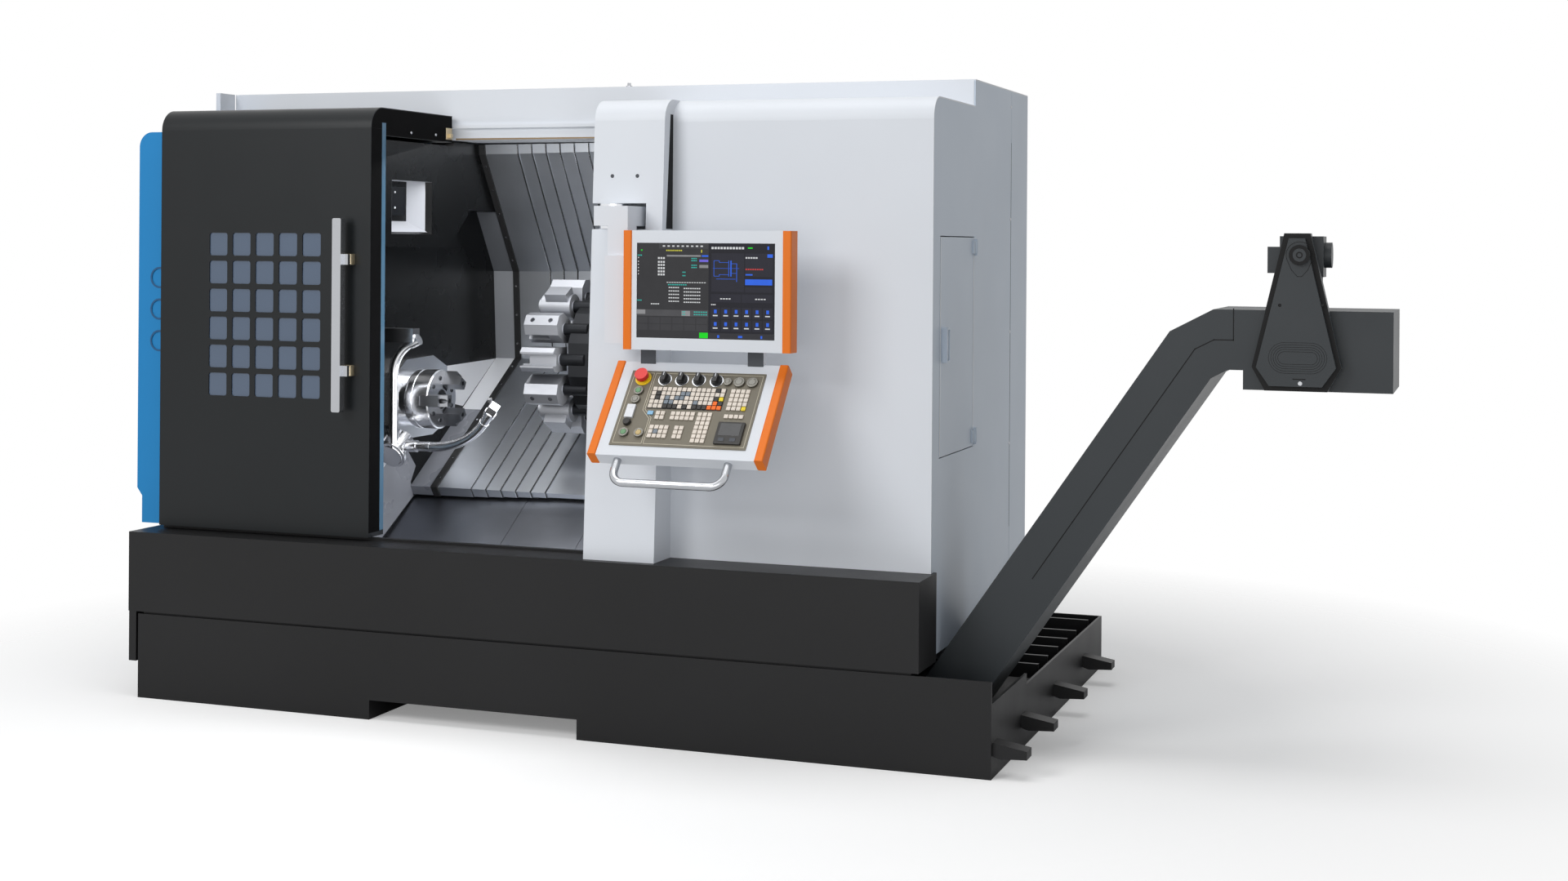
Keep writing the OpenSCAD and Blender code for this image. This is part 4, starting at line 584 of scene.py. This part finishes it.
# Keyboard frame: X across, Y up the slope, Z out of the face
KEYS_CENTRE, KEYS_ANGLE = at(2026, -150, 1033), 50
KEYS_TILT = Matrix.Rotation(math.radians(KEYS_ANGLE), 4, "X")
KEYS = Matrix.Translation(KEYS_CENTRE) @ KEYS_TILT
KEYS_OUT = KEYS_TILT @ Vector(UP)


def on_keys(x, y, z):
    return KEYS @ (Vector((x, y, z)) / MM)


def key_box(bm, x0, y0, x1, y1, z0, z1):
    add_box(bm, Vector((x0, y0, z0)) / MM, Vector((x1, y1, z1)) / MM, KEYS)


def key_ring(bm, x, y, inner, outer, low, high):
    add_ring(bm, KEYS @ Matrix.Translation(Vector((x, y, 0)) / MM), inner, outer, low, high)


def key_boxes(name, spots, mat, bevel):
    bm = bmesh.new()
    for spot in spots:
        key_box(bm, *spot)
    piece(name, bm, mat, "console", bevel)


# Key caps over the keypad's keys, with the black field behind the main block
PLATE_T, CAP_TOP = 3.0, 7.4
KEY_PITCH, CAP_HALF, CAP_BEVEL = 15.4, 6.5, 1.2
FIELD_EDGE, FIELD_H = 9, 0.6
MAIN_X, MAIN_Y, MAIN_COLS, MAIN_ROWS = -120, 68, 15, 5
BLOCKS = (
    (MAIN_X, MAIN_Y, MAIN_COLS, MAIN_ROWS), (126, 68, 4, 5), (126, -22, 4, 1), (-88, -18, 2, 2),
    (-40, -18, 5, 2), (44, -18, 3, 7), (-94, -68, 4, 3), (-16, -68, 2, 3),
)
# Caps that aren't cream, by block, column and row
SPECIAL = {
    "grey": {
        (0, 6, 1), (0, 7, 1), (0, 3, 2), (0, 5, 2), (0, 6, 2), (0, 3, 3), (0, 4, 3), (0, 9, 3), (6, 1, 1),
    },
    "yellow": {(0, 14, 2), (1, 3, 4)},
    "orange": {(0, 13, 3), (0, 12, 4), (0, 13, 4), (0, 14, 4)},
    "black": {(0, 13, 0), (0, 1, 1), (0, 1, 2), (0, 13, 2), (0, 14, 3)},
}
SPECIAL["black"] |= {(0, column, 4) for column in (3, 4, 5, 7, 9, 10, 11)}
CAP_PAINT = {
    "cream": KEY_CREAM, "grey": KEY_GREY, "yellow": KEY_YELLOW, "orange": KEY_ORANGE, "black": KEY_BLACK,
}
caps = {kind: bmesh.new() for kind in CAP_PAINT}
for b, (x0, y0, cols, rows) in enumerate(BLOCKS):
    for i in range(cols):
        for j in range(rows):
            kind = next((k for k, spots in SPECIAL.items() if (b, i, j) in spots), "cream")
            x, y = x0 + KEY_PITCH * i, y0 - KEY_PITCH * j
            low = PLATE_T + (0.1 if kind == "black" else 0.2)
            key_box(caps[kind], x - CAP_HALF, y - CAP_HALF, x + CAP_HALF, y + CAP_HALF, low, CAP_TOP)
for kind, bm in caps.items():
    piece("keys_" + kind, bm, CAP_PAINT[kind], "console", bevel=CAP_BEVEL)
field_x1 = MAIN_X + (MAIN_COLS - 1) * KEY_PITCH + FIELD_EDGE
field_y0 = MAIN_Y - (MAIN_ROWS - 1) * KEY_PITCH - FIELD_EDGE
key_field = (MAIN_X - FIELD_EDGE, field_y0, field_x1, MAIN_Y + FIELD_EDGE, PLATE_T, PLATE_T + FIELD_H)
key_boxes("key_field", [key_field], KEY_BLACK, bevel=0.2)
key_boxes("key_blue", [(-121, -25, -103, -12, PLATE_T, CAP_TOP)], KEY_BLUE, bevel=CAP_BEVEL)

# Border lines printed on the keypad
LINE_HALF, LINE_T = 0.6, 0.3
LEFT_BORDER = ((-203, 126), (-140, 126), (-140, -8), (-112, -38), (-112, -126), (-203, -126))
RIGHT_BORDER = ((-134, 126), (205, 126), (205, -126), (-106, -126), (-106, -35), (-134, -5))
bm = bmesh.new()
for border in (LEFT_BORDER, RIGHT_BORDER):
    for a, b in zip(border, border[1:] + border[:1]):
        run = Vector(b) - Vector(a)
        turn = Matrix.Rotation(math.atan2(run.y, run.x), 4, "Z")
        spot = KEYS @ Matrix.Translation(Vector((a[0], a[1], PLATE_T)) / MM) @ turn
        low = Vector((-LINE_HALF, -LINE_HALF, 0)) / MM
        add_box(bm, low, Vector((run.length + LINE_HALF, LINE_HALF, LINE_T)) / MM, spot)
piece("keypad_border", bm, LINE, "console")

# Emergency stop collar in two steps, dial rings and the pointers on the dials
STOP, STOP_BORE, COLLAR = (-169, 104), 10, ((25, 0, 4), (21, 4, 7.5))
DIALS = ((-100, 104), (-46, 104), (8, 104), (64, 104))
RING_IN, RING_OUT, RING_H = 17.6, 21.5, 1.2
POINTER_HALF, POINTER_FROM, POINTER_TO, POINTER_Z = 1.2, 2, 13, (23.8, 24.5)
bm = bmesh.new()
for outer, low, high in COLLAR:
    key_ring(bm, *STOP, STOP_BORE, outer, PLATE_T + low, PLATE_T + high)
piece("stop_collar", bm, YELLOW, "console", bevel=0.8)
bm = bmesh.new()
for x, y in DIALS:
    key_ring(bm, x, y, RING_IN, RING_OUT, PLATE_T, PLATE_T + RING_H)
piece("dial_rings", bm, SATIN, "console", bevel=0.3)
for k, (x, y) in enumerate(DIALS):
    bm = bmesh.new()
    key_box(bm, x - POINTER_HALF, y + POINTER_FROM, x + POINTER_HALF, y + POINTER_TO, *POINTER_Z)
    piece("dial_pointer_%d" % (k + 1), bm, PALE_PAINT_AND_HIGHLIGHT, "knob_%d" % (k + 1), bevel=0.2)

# Lamp buttons: place, radius and kind
LAMPS = (
    (-171, 58, 12, "green"), (-172, 26, 11, "steel"), (-176, -92, 12, "green"), (-128, -92, 12, "amber"),
    (101, 99, 10, "steel"), (137, 99, 14, "steel"), (178, 99, 14, "steel"),
)
LAMP_PAINT = {
    "green": moulded("lamp_green", srgb(104, 150, 108), rough=0.4),
    "steel": moulded("lamp_grey", srgb(150, 148, 140), rough=0.4),
    "amber": moulded("lamp_amber", srgb(196, 172, 118), rough=0.4),
}
BEZEL_GAP, BEZEL_W, BEZEL_IN, BEZEL_LOW, BEZEL_TOP = 0.1, 2.6, 2.5, 10, 11
LENS_IN, LENS_TOP_IN, LENS_Z, LENS_T = 2.7, 4.2, 11.2, 2.6
bm = bmesh.new()
for x, y, r, kind in LAMPS:
    key_ring(bm, x, y, r + BEZEL_GAP, r + BEZEL_W, PLATE_T, BEZEL_TOP)
    key_ring(bm, x, y, r - BEZEL_IN, r + BEZEL_GAP, BEZEL_LOW, BEZEL_TOP)
piece("lamp_bezels", bm, BEZEL, "console", bevel=0.4)
for kind, mat in LAMP_PAINT.items():
    bm = bmesh.new()
    for x, y, r, what in LAMPS:
        if what == kind:
            add_disc(bm, on_keys(x, y, LENS_Z), KEYS_OUT, r - LENS_IN, LENS_T, 28, r - LENS_TOP_IN)
    piece("lamp_caps_" + kind, bm, mat, "console", bevel=0.5)

# Port plate, key switch and the small display with its two keys
PORT_TOP, UNIT_TOP = 10.5, 11.5
key_boxes("port_plate", [
    (-190, -39, -164, 7, PLATE_T, PORT_TOP), (-183, -6, -171, 2, PORT_TOP, PORT_TOP + 1),
], PALE_PAINT_AND_HIGHLIGHT, bevel=1.5)
bm = bmesh.new()
add_disc(bm, on_keys(-176, -55, 9), KEYS_OUT, radius=12.5, depth=12, segments=28, top=11)
key_box(bm, 111, -120, 193, -44, PLATE_T, UNIT_TOP)
piece("display_unit", bm, KEY_BLACK, "console", bevel=2)
unit_glass = (120, -92, 184, -50, UNIT_TOP, UNIT_TOP + 0.5)
key_boxes("display_unit_glass", [unit_glass], DISPLAY, bevel=0.3)
unit_keys = [(x - 9, -112, x + 9, -100, UNIT_TOP, UNIT_TOP + 1.1) for x in (133, 168)]
key_boxes("display_unit_keys", unit_keys, DARK_STEEL_AND_SHADE, bevel=0.6)

# White lining of the lamp pocket, which narrows from its mouth to its back
POCKET_BACK, POCKET_MOUTH = 738.6, 799.6
POCKET_NEAR, POCKET_HIGH = 250.6, 1721.4
BACK_FAR, BACK_LOW = 449.4, 1586.6
MOUTH_FAR, MOUTH_LOW = 515.4, 1542.6
LINING_T = 0.5
bm = bmesh.new()
made = []
for x, far_y, low_z in ((POCKET_BACK, BACK_FAR, BACK_LOW), (POCKET_MOUTH, MOUTH_FAR, MOUTH_LOW)):
    for y, z in ((POCKET_NEAR, low_z), (far_y, low_z), (far_y, POCKET_HIGH), (POCKET_NEAR, POCKET_HIGH)):
        made.append(bm.verts.new(at(x, y, z)))
for face in ((0, 4, 5, 1), (1, 5, 6, 2), (3, 2, 6, 7), (0, 3, 7, 4)):
    bm.faces.new([made[i] for i in face])
bmesh.ops.recalc_face_normals(bm, faces=bm.faces)
lining = piece("lamp_lining", bm, LINING, "frame")
thick = lining.modifiers.new("sheet", "SOLIDIFY")
thick.thickness = LINING_T / MM
thick.offset = 0


# Strips along a path in Y and Z, between two distances from it
def offset_path(points, gap):
    spots = [Vector(p) for p in points]
    sides = []
    for a, b in zip(spots, spots[1:]):
        d = (b - a).normalized()
        sides.append(Vector((-d.y, d.x)))
    out = [spots[0] + sides[0] * gap]
    for k in range(1, len(spots) - 1):
        m = (sides[k - 1] + sides[k]).normalized()
        out.append(spots[k] + m * gap / m.dot(sides[k]))
    out.append(spots[-1] + sides[-1] * gap)
    return out


def strip(name, points, xs, gaps, mat, body):
    bm = bmesh.new()
    paths = [offset_path(points, gap) for gap in gaps]
    rows = [[bm.verts.new(at(x, p.x, p.y)) for p in path] for x in xs for path in paths]
    last = len(points) - 1
    for k in range(last):
        for a, b in ((0, 2), (2, 3), (3, 1), (1, 0)):
            bm.faces.new((rows[a][k], rows[a][k + 1], rows[b][k + 1], rows[b][k]))
    for k in (0, last):
        bm.faces.new((rows[0][k], rows[1][k], rows[3][k], rows[2][k]))
    bmesh.ops.recalc_face_normals(bm, faces=bm.faces)
    piece(name, bm, mat, body, bevel=0.2)


# Dark rubber lip and bright trim at the edge of each way cover, which lie one behind the other; the lip is a
# real wiper whose dark colour also stands as painted shade along the cover's edge
COVER = ((852, 1867), (857, 1833), (1124, 1410.9), (1146, 1086), (526, 677), (549, 646))
COVER_PITCH = 3.0
EDGE_STRIPS = (("lip", (-4, -0.5), (-1.1, -0.05), RUBBER), ("trim", (-6, -4.2), (-0.8, -0.05), CHROME))
for k in range(COVERS):
    edge = box_of("way_cover_%d" % (k + 1))[1].x
    body = "cover_%d" % (k + 1) if k else "frame"
    for part, across, out, mat in EDGE_STRIPS:
        xs = [edge + x for x in across]
        gaps = [COVER_PITCH * k + gap for gap in out]
        strip("cover_%s_%d" % (part, k + 1), COVER, xs, gaps, mat, body)

# Flange of the chamber's left wall in four greys, and a lower panel and a white facet on the wall: painted
# reflections of the light on one polished sheet
WALL_IN, WALL_OUT = box_of("chip_chute")[0].x, box_of("left_wall")[1].x
STEP_Z = 1628
FACET_END = (886, 914.5)
FLANGE_X, FLANGE_GAPS = (WALL_IN + 0.4, WALL_OUT - 0.4), (-0.7, -0.1)
PANEL_X, PANEL_T = WALL_IN + 0.1, 0.6
LOWER_REFLECTION_PATCH = (
    (193, 402), (193, 850), (300, 866), (470, 838), (560, 742),
    (526, 690), (545, 648), (545, 640), (300, 500), (300, 402),
)
WALL_REFLECTION_PATCH = ((1140, 1084), (745, 1076), (690, 965), (892, 925))
step_share = (COVER[1][1] - STEP_Z) / (COVER[1][1] - COVER[2][1])
step = Vector(COVER[1]).lerp(Vector(COVER[2]), step_share)
FLANGE_PARTS = (
    ("slope", (step, COVER[2]), SLOPE), ("upright", COVER[2:4], UPRIGHT),
    ("facet", (COVER[3], FACET_END), FLANGE), ("lower", (FACET_END, COVER[4], COVER[5]), LOWER),
)
for part, path, mat in FLANGE_PARTS:
    strip("wall_flange_" + part, path, FLANGE_X, FLANGE_GAPS, mat, "frame")
# Two flat patches on the wall in lighter greys, as painted reflections
side_plates("wall_lower_painted_reflection", PANEL_X, [LOWER_REFLECTION_PATCH], PANEL_T, LOWER, "frame")
side_plates("wall_painted_reflection", PANEL_X, [WALL_REFLECTION_PATCH], PANEL_T, FLANGE, "frame")

# Screws along the wiper strip
SEAL_X, SEAL_FRONT, SEAL_PITCH = WALL_OUT + 12, -6.2, 110
SEAL_R, SEAL_TOP_R, SEAL_HEAD = 4.5, 3.8, 2.4
seal = offset_path(COVER, SEAL_FRONT)
bm = bmesh.new()
for a, b in zip(seal[1:4], seal[2:5]):
    run = b - a
    out = Vector((run.y, -run.x)).normalized()
    count = max(2, round(run.length / SEAL_PITCH))
    for k in range(count):
        p = a + run * (k + 0.5) / count
        add_disc(bm, at(SEAL_X, p.x, p.y), (0, out.x, out.y), SEAL_R, SEAL_HEAD, 14, SEAL_TOP_R)
piece("seal_screws", bm, CHROME, "frame")

# Chrome sleeve of the swivel post in the column's notch
POST_X, POST_Y, POST_BORE, POST_OUT, POST_Z = 1662, 122, 48.2, 49.5, (1562, 1638)
bm = bmesh.new()
add_ring(bm, Matrix.Translation(at(POST_X, POST_Y, 0)), POST_BORE, POST_OUT, *POST_Z, 64)
piece("post_sleeve", bm, CHROME, "console")

# Screws on the lamp, the door's hood, the side seam and the column
door_end = box_of("door_panel")[1].x
side_x = box_of("right_front_panel")[1].x
lamp_x = box_of("work_light")[1].x
COLUMN_Y = 85.4
lamp_spots = [at(lamp_x, 358, z) for z in (1684, 1632)]
hood_spots = [at(door_end, y, z) for y, z in ((352, 1882), (517, 1884))]
seam_spots = [at(side_x, 1143, z) for z in (845, 1225, 1608, 1990)]
column_spots = [at(x, COLUMN_Y, 1724) for x in (1672, 1756)]
screws("lamp_screws", "frame", lamp_spots, RIGHT, radius=4, depth=1.5, mat=PALE_PAINT_AND_HIGHLIGHT)
screws("hood_screws", "door", hood_spots, RIGHT, radius=5, depth=2, mat=SATIN)
screws("seam_screws", "frame", seam_spots, RIGHT, radius=6, depth=1.6, mat=PALE_PAINT_AND_HIGHLIGHT)
screws("column_screws", "frame", column_spots, FRONT, radius=6, depth=2, mat=DARK_STEEL_AND_SHADE)

# Stud on the roof: a washer and a six-sided head
STUD_X, STUD_Y, WASHER_H, HEAD_H = 1465, 672, 4, 10
roof_z = box_of("roof_panel")[1].z
bm = bmesh.new()
add_disc(bm, at(STUD_X, STUD_Y, roof_z + WASHER_H / 2), UP, radius=11, depth=WASHER_H)
head_z = roof_z + WASHER_H + HEAD_H / 2
add_disc(bm, at(STUD_X, STUD_Y, head_z), UP, radius=7, depth=HEAD_H, segments=6, top=6)
piece("roof_stud", bm, SATIN, "frame", bevel=0.4)

# Door edge strip, a near-black sheet on the door's end with its round hood as painted shadow where the end
# lies in shade, and the hood's bracket
EDGE_Y, EDGE_Z = (166, 189.5), (576, 1905)
HOOD_Y, HOOD_Z, HOOD_R = 168, 1885, 67
INNER_Y, SHADE_T, CLEAR = 165.6, 0.3, 0.02
hood_angles = [math.radians(90 - 10 * k) for k in range(10)]
hood = [(HOOD_Y - HOOD_R * math.sin(a), HOOD_Z + HOOD_R * math.cos(a)) for a in hood_angles]
SHADE_EDGE = ((100, 574), (INNER_Y, 574), (INNER_Y, HOOD_Z - 0.2), (101, HOOD_Z - 0.2))
HOOD_BACK = [(628, 1952), (628, 1865), (191, 1865), (191, 1906), (INNER_Y, 1906)]
hood_edge = [(INNER_Y, HOOD_Z + 0.2)] + hood + HOOD_BACK
edge_strip = ((door_end, EDGE_Y[0], EDGE_Z[0]), (door_end + 0.5, EDGE_Y[1], EDGE_Z[1]))
boxes("door_edge_strip", [edge_strip], EDGE, "door", bevel=0.2)
# Painted shadow on the door's end and its hood
shades = [SHADE_EDGE, hood_edge]
side_plates("door_end_shade", door_end + CLEAR, shades, SHADE_T, SHADE, "door")
boxes("hood_bracket", [
    ((door_end, 586, 1872), (door_end + 3, 626, 1912)),
    ((door_end + 3, 600, 1878), (door_end + 12, 616, 1892)),
], BRASS, "door", bevel=0.8)

# Sleeves and dark plates on the handle's two standoffs
STANDOFF_IN = 132.5
SLEEVE_X, SLEEVE_Y, SLEEVE_HALF = (717.4, 756.6), (69, 97.8), 17.6
PAD_X, PAD_Y, PAD_HALF = (740, 753), (68.2, 69.2), 13
handle_low, handle_high = box_of("door_handle")
standoff_z = (handle_low.z + STANDOFF_IN, handle_high.z - STANDOFF_IN)


def on_standoffs(xs, ys, half):
    return [((xs[0], ys[0], z - half), (xs[1], ys[1], z + half)) for z in standoff_z]


sleeves = on_standoffs(SLEEVE_X, SLEEVE_Y, SLEEVE_HALF)
plates = on_standoffs(PAD_X, PAD_Y, PAD_HALF)
boxes("standoff_sleeves", sleeves, BRASS, "door", bevel=2)
boxes("standoff_plates", plates, DARK_STEEL_AND_SHADE, "door", bevel=0.4)

# Bronze edge of the roof's lip, and a black sheet on the column's side beside the panel, as painted shadow
# where the side lies in shade
LIP_EDGE = ((815, 652.2, 1873.2), (1604, 652.9, 1878.5))
COLUMN_SHADOW, COLUMN_SHADOW_T = ((158.5, 1562), (108, 1562), (138, 1915), (158.5, 1915)), 0.4
column_end = box_of("column_panel")[1].x
boxes("roof_lip_edge", [LIP_EDGE], LIP, "frame", bevel=0.2)
# Painted shadow: black sheet on the column's shaded side
side_plates("column_side_painted_shadow", column_end + CLEAR, [COLUMN_SHADOW], COLUMN_SHADOW_T, SEAM_AND_SHADOW, "frame")

# Rings set in the left cover's ports
spindle_low, spindle_high = box_of("spindle")
SPINDLE_Y = (spindle_low.y + spindle_high.y) / 2
SPINDLE_Z = (spindle_low.z + spindle_high.z) / 2
PORT_IN, PORT_UP, PORT_PITCH = 85, 295, 108
PORT_RING_IN, PORT_RING_OUT, PORT_RING_Z = 30, 36.4, (0.2, 1.2)
TO_FRONT = Matrix.Rotation(math.radians(90), 4, "X")
cover_low = box_of("left_cover")[0]
bm = bmesh.new()
for k in (-1, 0, 1):
    centre = at(cover_low.x + PORT_IN, cover_low.y, SPINDLE_Z + PORT_UP + k * PORT_PITCH)
    add_ring(bm, Matrix.Translation(centre) @ TO_FRONT, PORT_RING_IN, PORT_RING_OUT, *PORT_RING_Z, 48)
piece("port_rings", bm, PORT, "frame", bevel=0.3)


# Lines in X and Z on a face that looks to the front
def flat_line(bm, points, y, wide, deep):
    for a, b in zip(points, points[1:]):
        start, end = Vector(a), Vector(b)
        run = end - start
        side = Vector((-run.y, run.x)).normalized() * wide / 2
        along = run.normalized() * wide / 2
        ring = [start - along - side, end + along - side, end + along + side, start - along + side]
        add_prism(bm, [at(p.x, y, p.y) for p in ring], (0, -deep, 0))


def stadium(x, z, half_run, radius, steps=14):
    spots = []
    for side in (1, -1):
        for k in range(steps + 1):
            a = math.pi * (k / steps - 0.5)
            spots.append((x + side * (half_run + radius * math.cos(a)), z + side * radius * math.sin(a)))
    return spots + spots[:1]


# Marks on the conveyor's drive guard: oval rings, a drop round the boss and a short bar
GUARD = ((-40, 323, -1), (32, 323, -1), (118, -52, 0), (80, -120, 1), (-92, -120, 1), (-128, -54, 0))
GUARD_STEP, GUARD_INSET, BOSS_H = 14.0, 0.6, 12
OVAL_Z, OVAL_HALF, OVAL_R, OVAL_PITCH, OVALS = 1209, 36.5, 43, 6.4, 5
DROP_R = 37
DROP_TIP = ((-22, -42), (-6, -60), (6, -60), (22, -42))
BAR = ((3709, 1150), (3741, 1150))
BOSS_RINGS, BOSS_RING_Z = ((18.5, 28.4, 48), (6, 9, 32)), (0.1, 1.0)
drive_low = box_of("conveyor_drive")[0]
DRIVE_X = drive_low.x - min(x for x, z, lift in GUARD)
SHAFT_Z = drive_low.z - min(z for x, z, lift in GUARD)
GUARD_Y = drive_low.y + BOSS_H
MARK_Y = GUARD_Y - 0.05
BOSS_X, BOSS_Z = DRIVE_X + 4, SHAFT_Z + 262
bm = bmesh.new()
for k in range(OVALS):
    oval = stadium(DRIVE_X, OVAL_Z, OVAL_HALF, OVAL_R - OVAL_PITCH * k)
    flat_line(bm, oval, MARK_Y, wide=0.9, deep=0.4)
drop_angles = [math.radians(t) for t in range(-32, 213, 12)]
drop = [(DROP_R * math.cos(a), DROP_R * math.sin(a)) for a in drop_angles] + list(DROP_TIP)
drop = [(BOSS_X + x, BOSS_Z + z) for x, z in drop]
flat_line(bm, drop + drop[:1], MARK_Y, wide=1.4, deep=0.4)
flat_line(bm, BAR, MARK_Y, wide=3.0, deep=0.5)
piece("guard_lines", bm, SEAM_AND_SHADOW, "frame")

# Border round the guard, its screws, an eyelet, and rings on the boss
bm = bmesh.new()
near, deep = GUARD_INSET, GUARD_STEP - GUARD_INSET
for j in range(len(GUARD)):
    n = (j + 1) % len(GUARD)
    ring = []
    for k, inset in ((j, near), (n, near), (n, deep), (j, deep)):
        x, z, lift = GUARD[k]
        inner_x = DRIVE_X + x - math.copysign(inset, x)
        ring.append(at(inner_x, MARK_Y + GUARD_STEP, SHAFT_Z + z + lift * inset))
    add_prism(bm, ring, (0, -0.4, 0))
piece("guard_border", bm, SEAM_AND_SHADOW, "frame")
guard_spots = [at(x, GUARD_Y, z) for x, z in ((3671, 1356), (3787, 1358))]
screws("guard_screws", "frame", guard_spots, FRONT, radius=4.5, depth=1.5, mat=SEAM_AND_SHADOW)
eyelet_spot = at(3728, GUARD_Y, 1138)
screws("guard_eyelet", "frame", [eyelet_spot], FRONT, radius=6, depth=1, mat=PALE_PAINT_AND_HIGHLIGHT)
boss_spot = Matrix.Translation(at(BOSS_X, drive_low.y, BOSS_Z)) @ TO_FRONT
bm = bmesh.new()
for inner, outer, sides in BOSS_RINGS:
    add_ring(bm, boss_spot, inner, outer, *BOSS_RING_Z, sides)
piece("boss_rings", bm, SEAM_AND_SHADOW, "frame", bevel=0.2)

# Seam along the conveyor's side
SIDE_LINE = ((3537.5, 1342), (3537.5, 1253), (3483, 1253), (3429, 1225), (3078, 711), (2960, 538))
bm = bmesh.new()
flat_line(bm, SIDE_LINE, box_of("conveyor_trough")[0].y - 0.1, wide=3.0, deep=0.4)
piece("conveyor_side_line", bm, SEAM_AND_SHADOW, "frame")

# Pairs of bolts in the chuck's face between the jaws
BOLT_CIRCLE, BOLT_FROM, BOLT_OFF, JAWS = 72, 150, 21, 3
chuck_face = box_of("chuck_body")[1].x
bolt_turns = [BOLT_FROM + 360 / JAWS * k + off for k in range(JAWS) for off in (-BOLT_OFF, BOLT_OFF)]
bolt_angles = [math.radians(turn) for turn in bolt_turns]
bolt_spots = [
    at(chuck_face, SPINDLE_Y - BOLT_CIRCLE * math.sin(a), SPINDLE_Z + BOLT_CIRCLE * math.cos(a))
    for a in bolt_angles
]
screws("chuck_bolts", "spindle", bolt_spots, RIGHT, radius=8, depth=3, mat=DARK_STEEL_AND_SHADE)

# Round cap on the tool setter's hub, along and square to the slant
SLANT = math.radians(32)
HUB_X, HUB_S, HUB_N = 770, -203, -79
hub_axis = Vector((0, -math.cos(SLANT), -math.sin(SLANT)))


def on_hub(s, n):
    y = SPINDLE_Y + s * math.cos(SLANT) - n * math.sin(SLANT)
    z = SPINDLE_Z + s * math.sin(SLANT) + n * math.cos(SLANT)
    return at(HUB_X, y, z)


bm = bmesh.new()
add_disc(bm, on_hub(HUB_S - 7, HUB_N), hub_axis, radius=49, depth=13.5, segments=48)
add_disc(bm, on_hub(HUB_S - 16, HUB_N), hub_axis, radius=40, depth=4, segments=48, top=38)
piece("setter_cap", bm, BRIGHT, "frame", bevel=1.2)

# Painted shadow on the two necks under the monitor: dark plates on their fronts where the monitor's shade
# falls
NECK_X, NECK_W, NECK_Z, NECK_INSET = (1829, 2171), 50, (1146, 1201), 0.4
arm_y = box_of("console_arm")[0].y
neck_y = (arm_y - 0.8, arm_y - 0.05)
# Dark plates as painted shadow under the monitor
boxes("neck_painted_shadow", [
    ((x + NECK_INSET, neck_y[0], NECK_Z[0]), (x + NECK_W - NECK_INSET, neck_y[1], NECK_Z[1])) for x in NECK_X
], DARK_STEEL_AND_SHADE, "console", bevel=0.2)

# Side seam, pale strips on the access door's edges as painted highlights where the edges catch the light,
# and the plate in its grip
SEAM_LINE = ((side_x + 0.05, 1149.8, 562), (side_x + 0.4, 1151.8, 1868))
GRIP_PLATE = ((side_x + 5.1, 276, 1172.5), (side_x + 11, 298, 1262.5))
LIT_EDGE_Y, LIT_EDGE_W, LIT_EDGE_Z = (241.6, 639.6), 5, (888, 1540)
lit_edges = [((side_x + 0.05, y, LIT_EDGE_Z[0]), (side_x + 1, y + LIT_EDGE_W, LIT_EDGE_Z[1])) for y in LIT_EDGE_Y]
boxes("side_seam", [SEAM_LINE], SEAM_AND_SHADOW, "frame", bevel=0.0)
# Painted highlights on the access door's two edges, and the grip's plate
boxes("access_lit_edges", lit_edges + [GRIP_PLATE], PALE_PAINT_AND_HIGHLIGHT, "access", bevel=0.3)

# Back cabinet: swing handles, hinges and pressed louvres on its three doors
DOORS = 3
GRIP_IN, HINGE_IN, LOUVRE_IN = 70, 16, 210
GRIP_PARTS = ((16, 0.2, 6, 1060, 1220), (9, 6, 14, 1086, 1108), (9, 14, 22, 1086, 1206))
HINGE_Z, HINGE_R, HINGE_H = (520, 1120, 1720), 7, 70
LEAF_X, LEAF_OUT, LEAF_HALF = (-32, -6), 3, 26
LOUVRE_Z, LOUVRE_COUNT, LOUVRE_PITCH, LOUVRE_H, LOUVRE_OUT = (450, 1560), 7, 26, 15, 9
cabinet_low, cabinet_high = box_of("electrical_cabinet")
door_run = (cabinet_high.x - cabinet_low.x) / DOORS
face = cabinet_high.y
skin = face + 0.2
handles, hinges, louvres = bmesh.new(), bmesh.new(), bmesh.new()
for k in range(DOORS):
    left = cabinet_low.x + door_run * k
    grip, pin = left + GRIP_IN, left + door_run - HINGE_IN
    for half, back, front, low, high in GRIP_PARTS:
        add_box(handles, at(grip - half, face + back, low), at(grip + half, face + front, high))
    for z in HINGE_Z:
        add_disc(hinges, at(pin, face + HINGE_R + 0.3, z), UP, HINGE_R, HINGE_H, 20)
        leaf_low = at(pin + LEAF_X[0], skin, z - LEAF_HALF)
        add_box(hinges, leaf_low, at(pin + LEAF_X[1], face + LEAF_OUT, z + LEAF_HALF))
    for low in LOUVRE_Z:
        for j in range(LOUVRE_COUNT):
            z = low + LOUVRE_PITCH * j
            section = ((skin, z), (face + LOUVRE_OUT, z), (skin, z + LOUVRE_H))
            outline = [at(left + LOUVRE_IN, y, h) for y, h in section]
            add_prism(louvres, outline, (door_run - 2 * LOUVRE_IN, 0, 0))
piece("cabinet_handles", handles, KNOB, "frame", bevel=1.5)
piece("cabinet_hinges", hinges, DARK_STEEL_AND_SHADE, "frame", bevel=0.6)
piece("cabinet_louvres", louvres, WHITE, "frame", bevel=0.8)
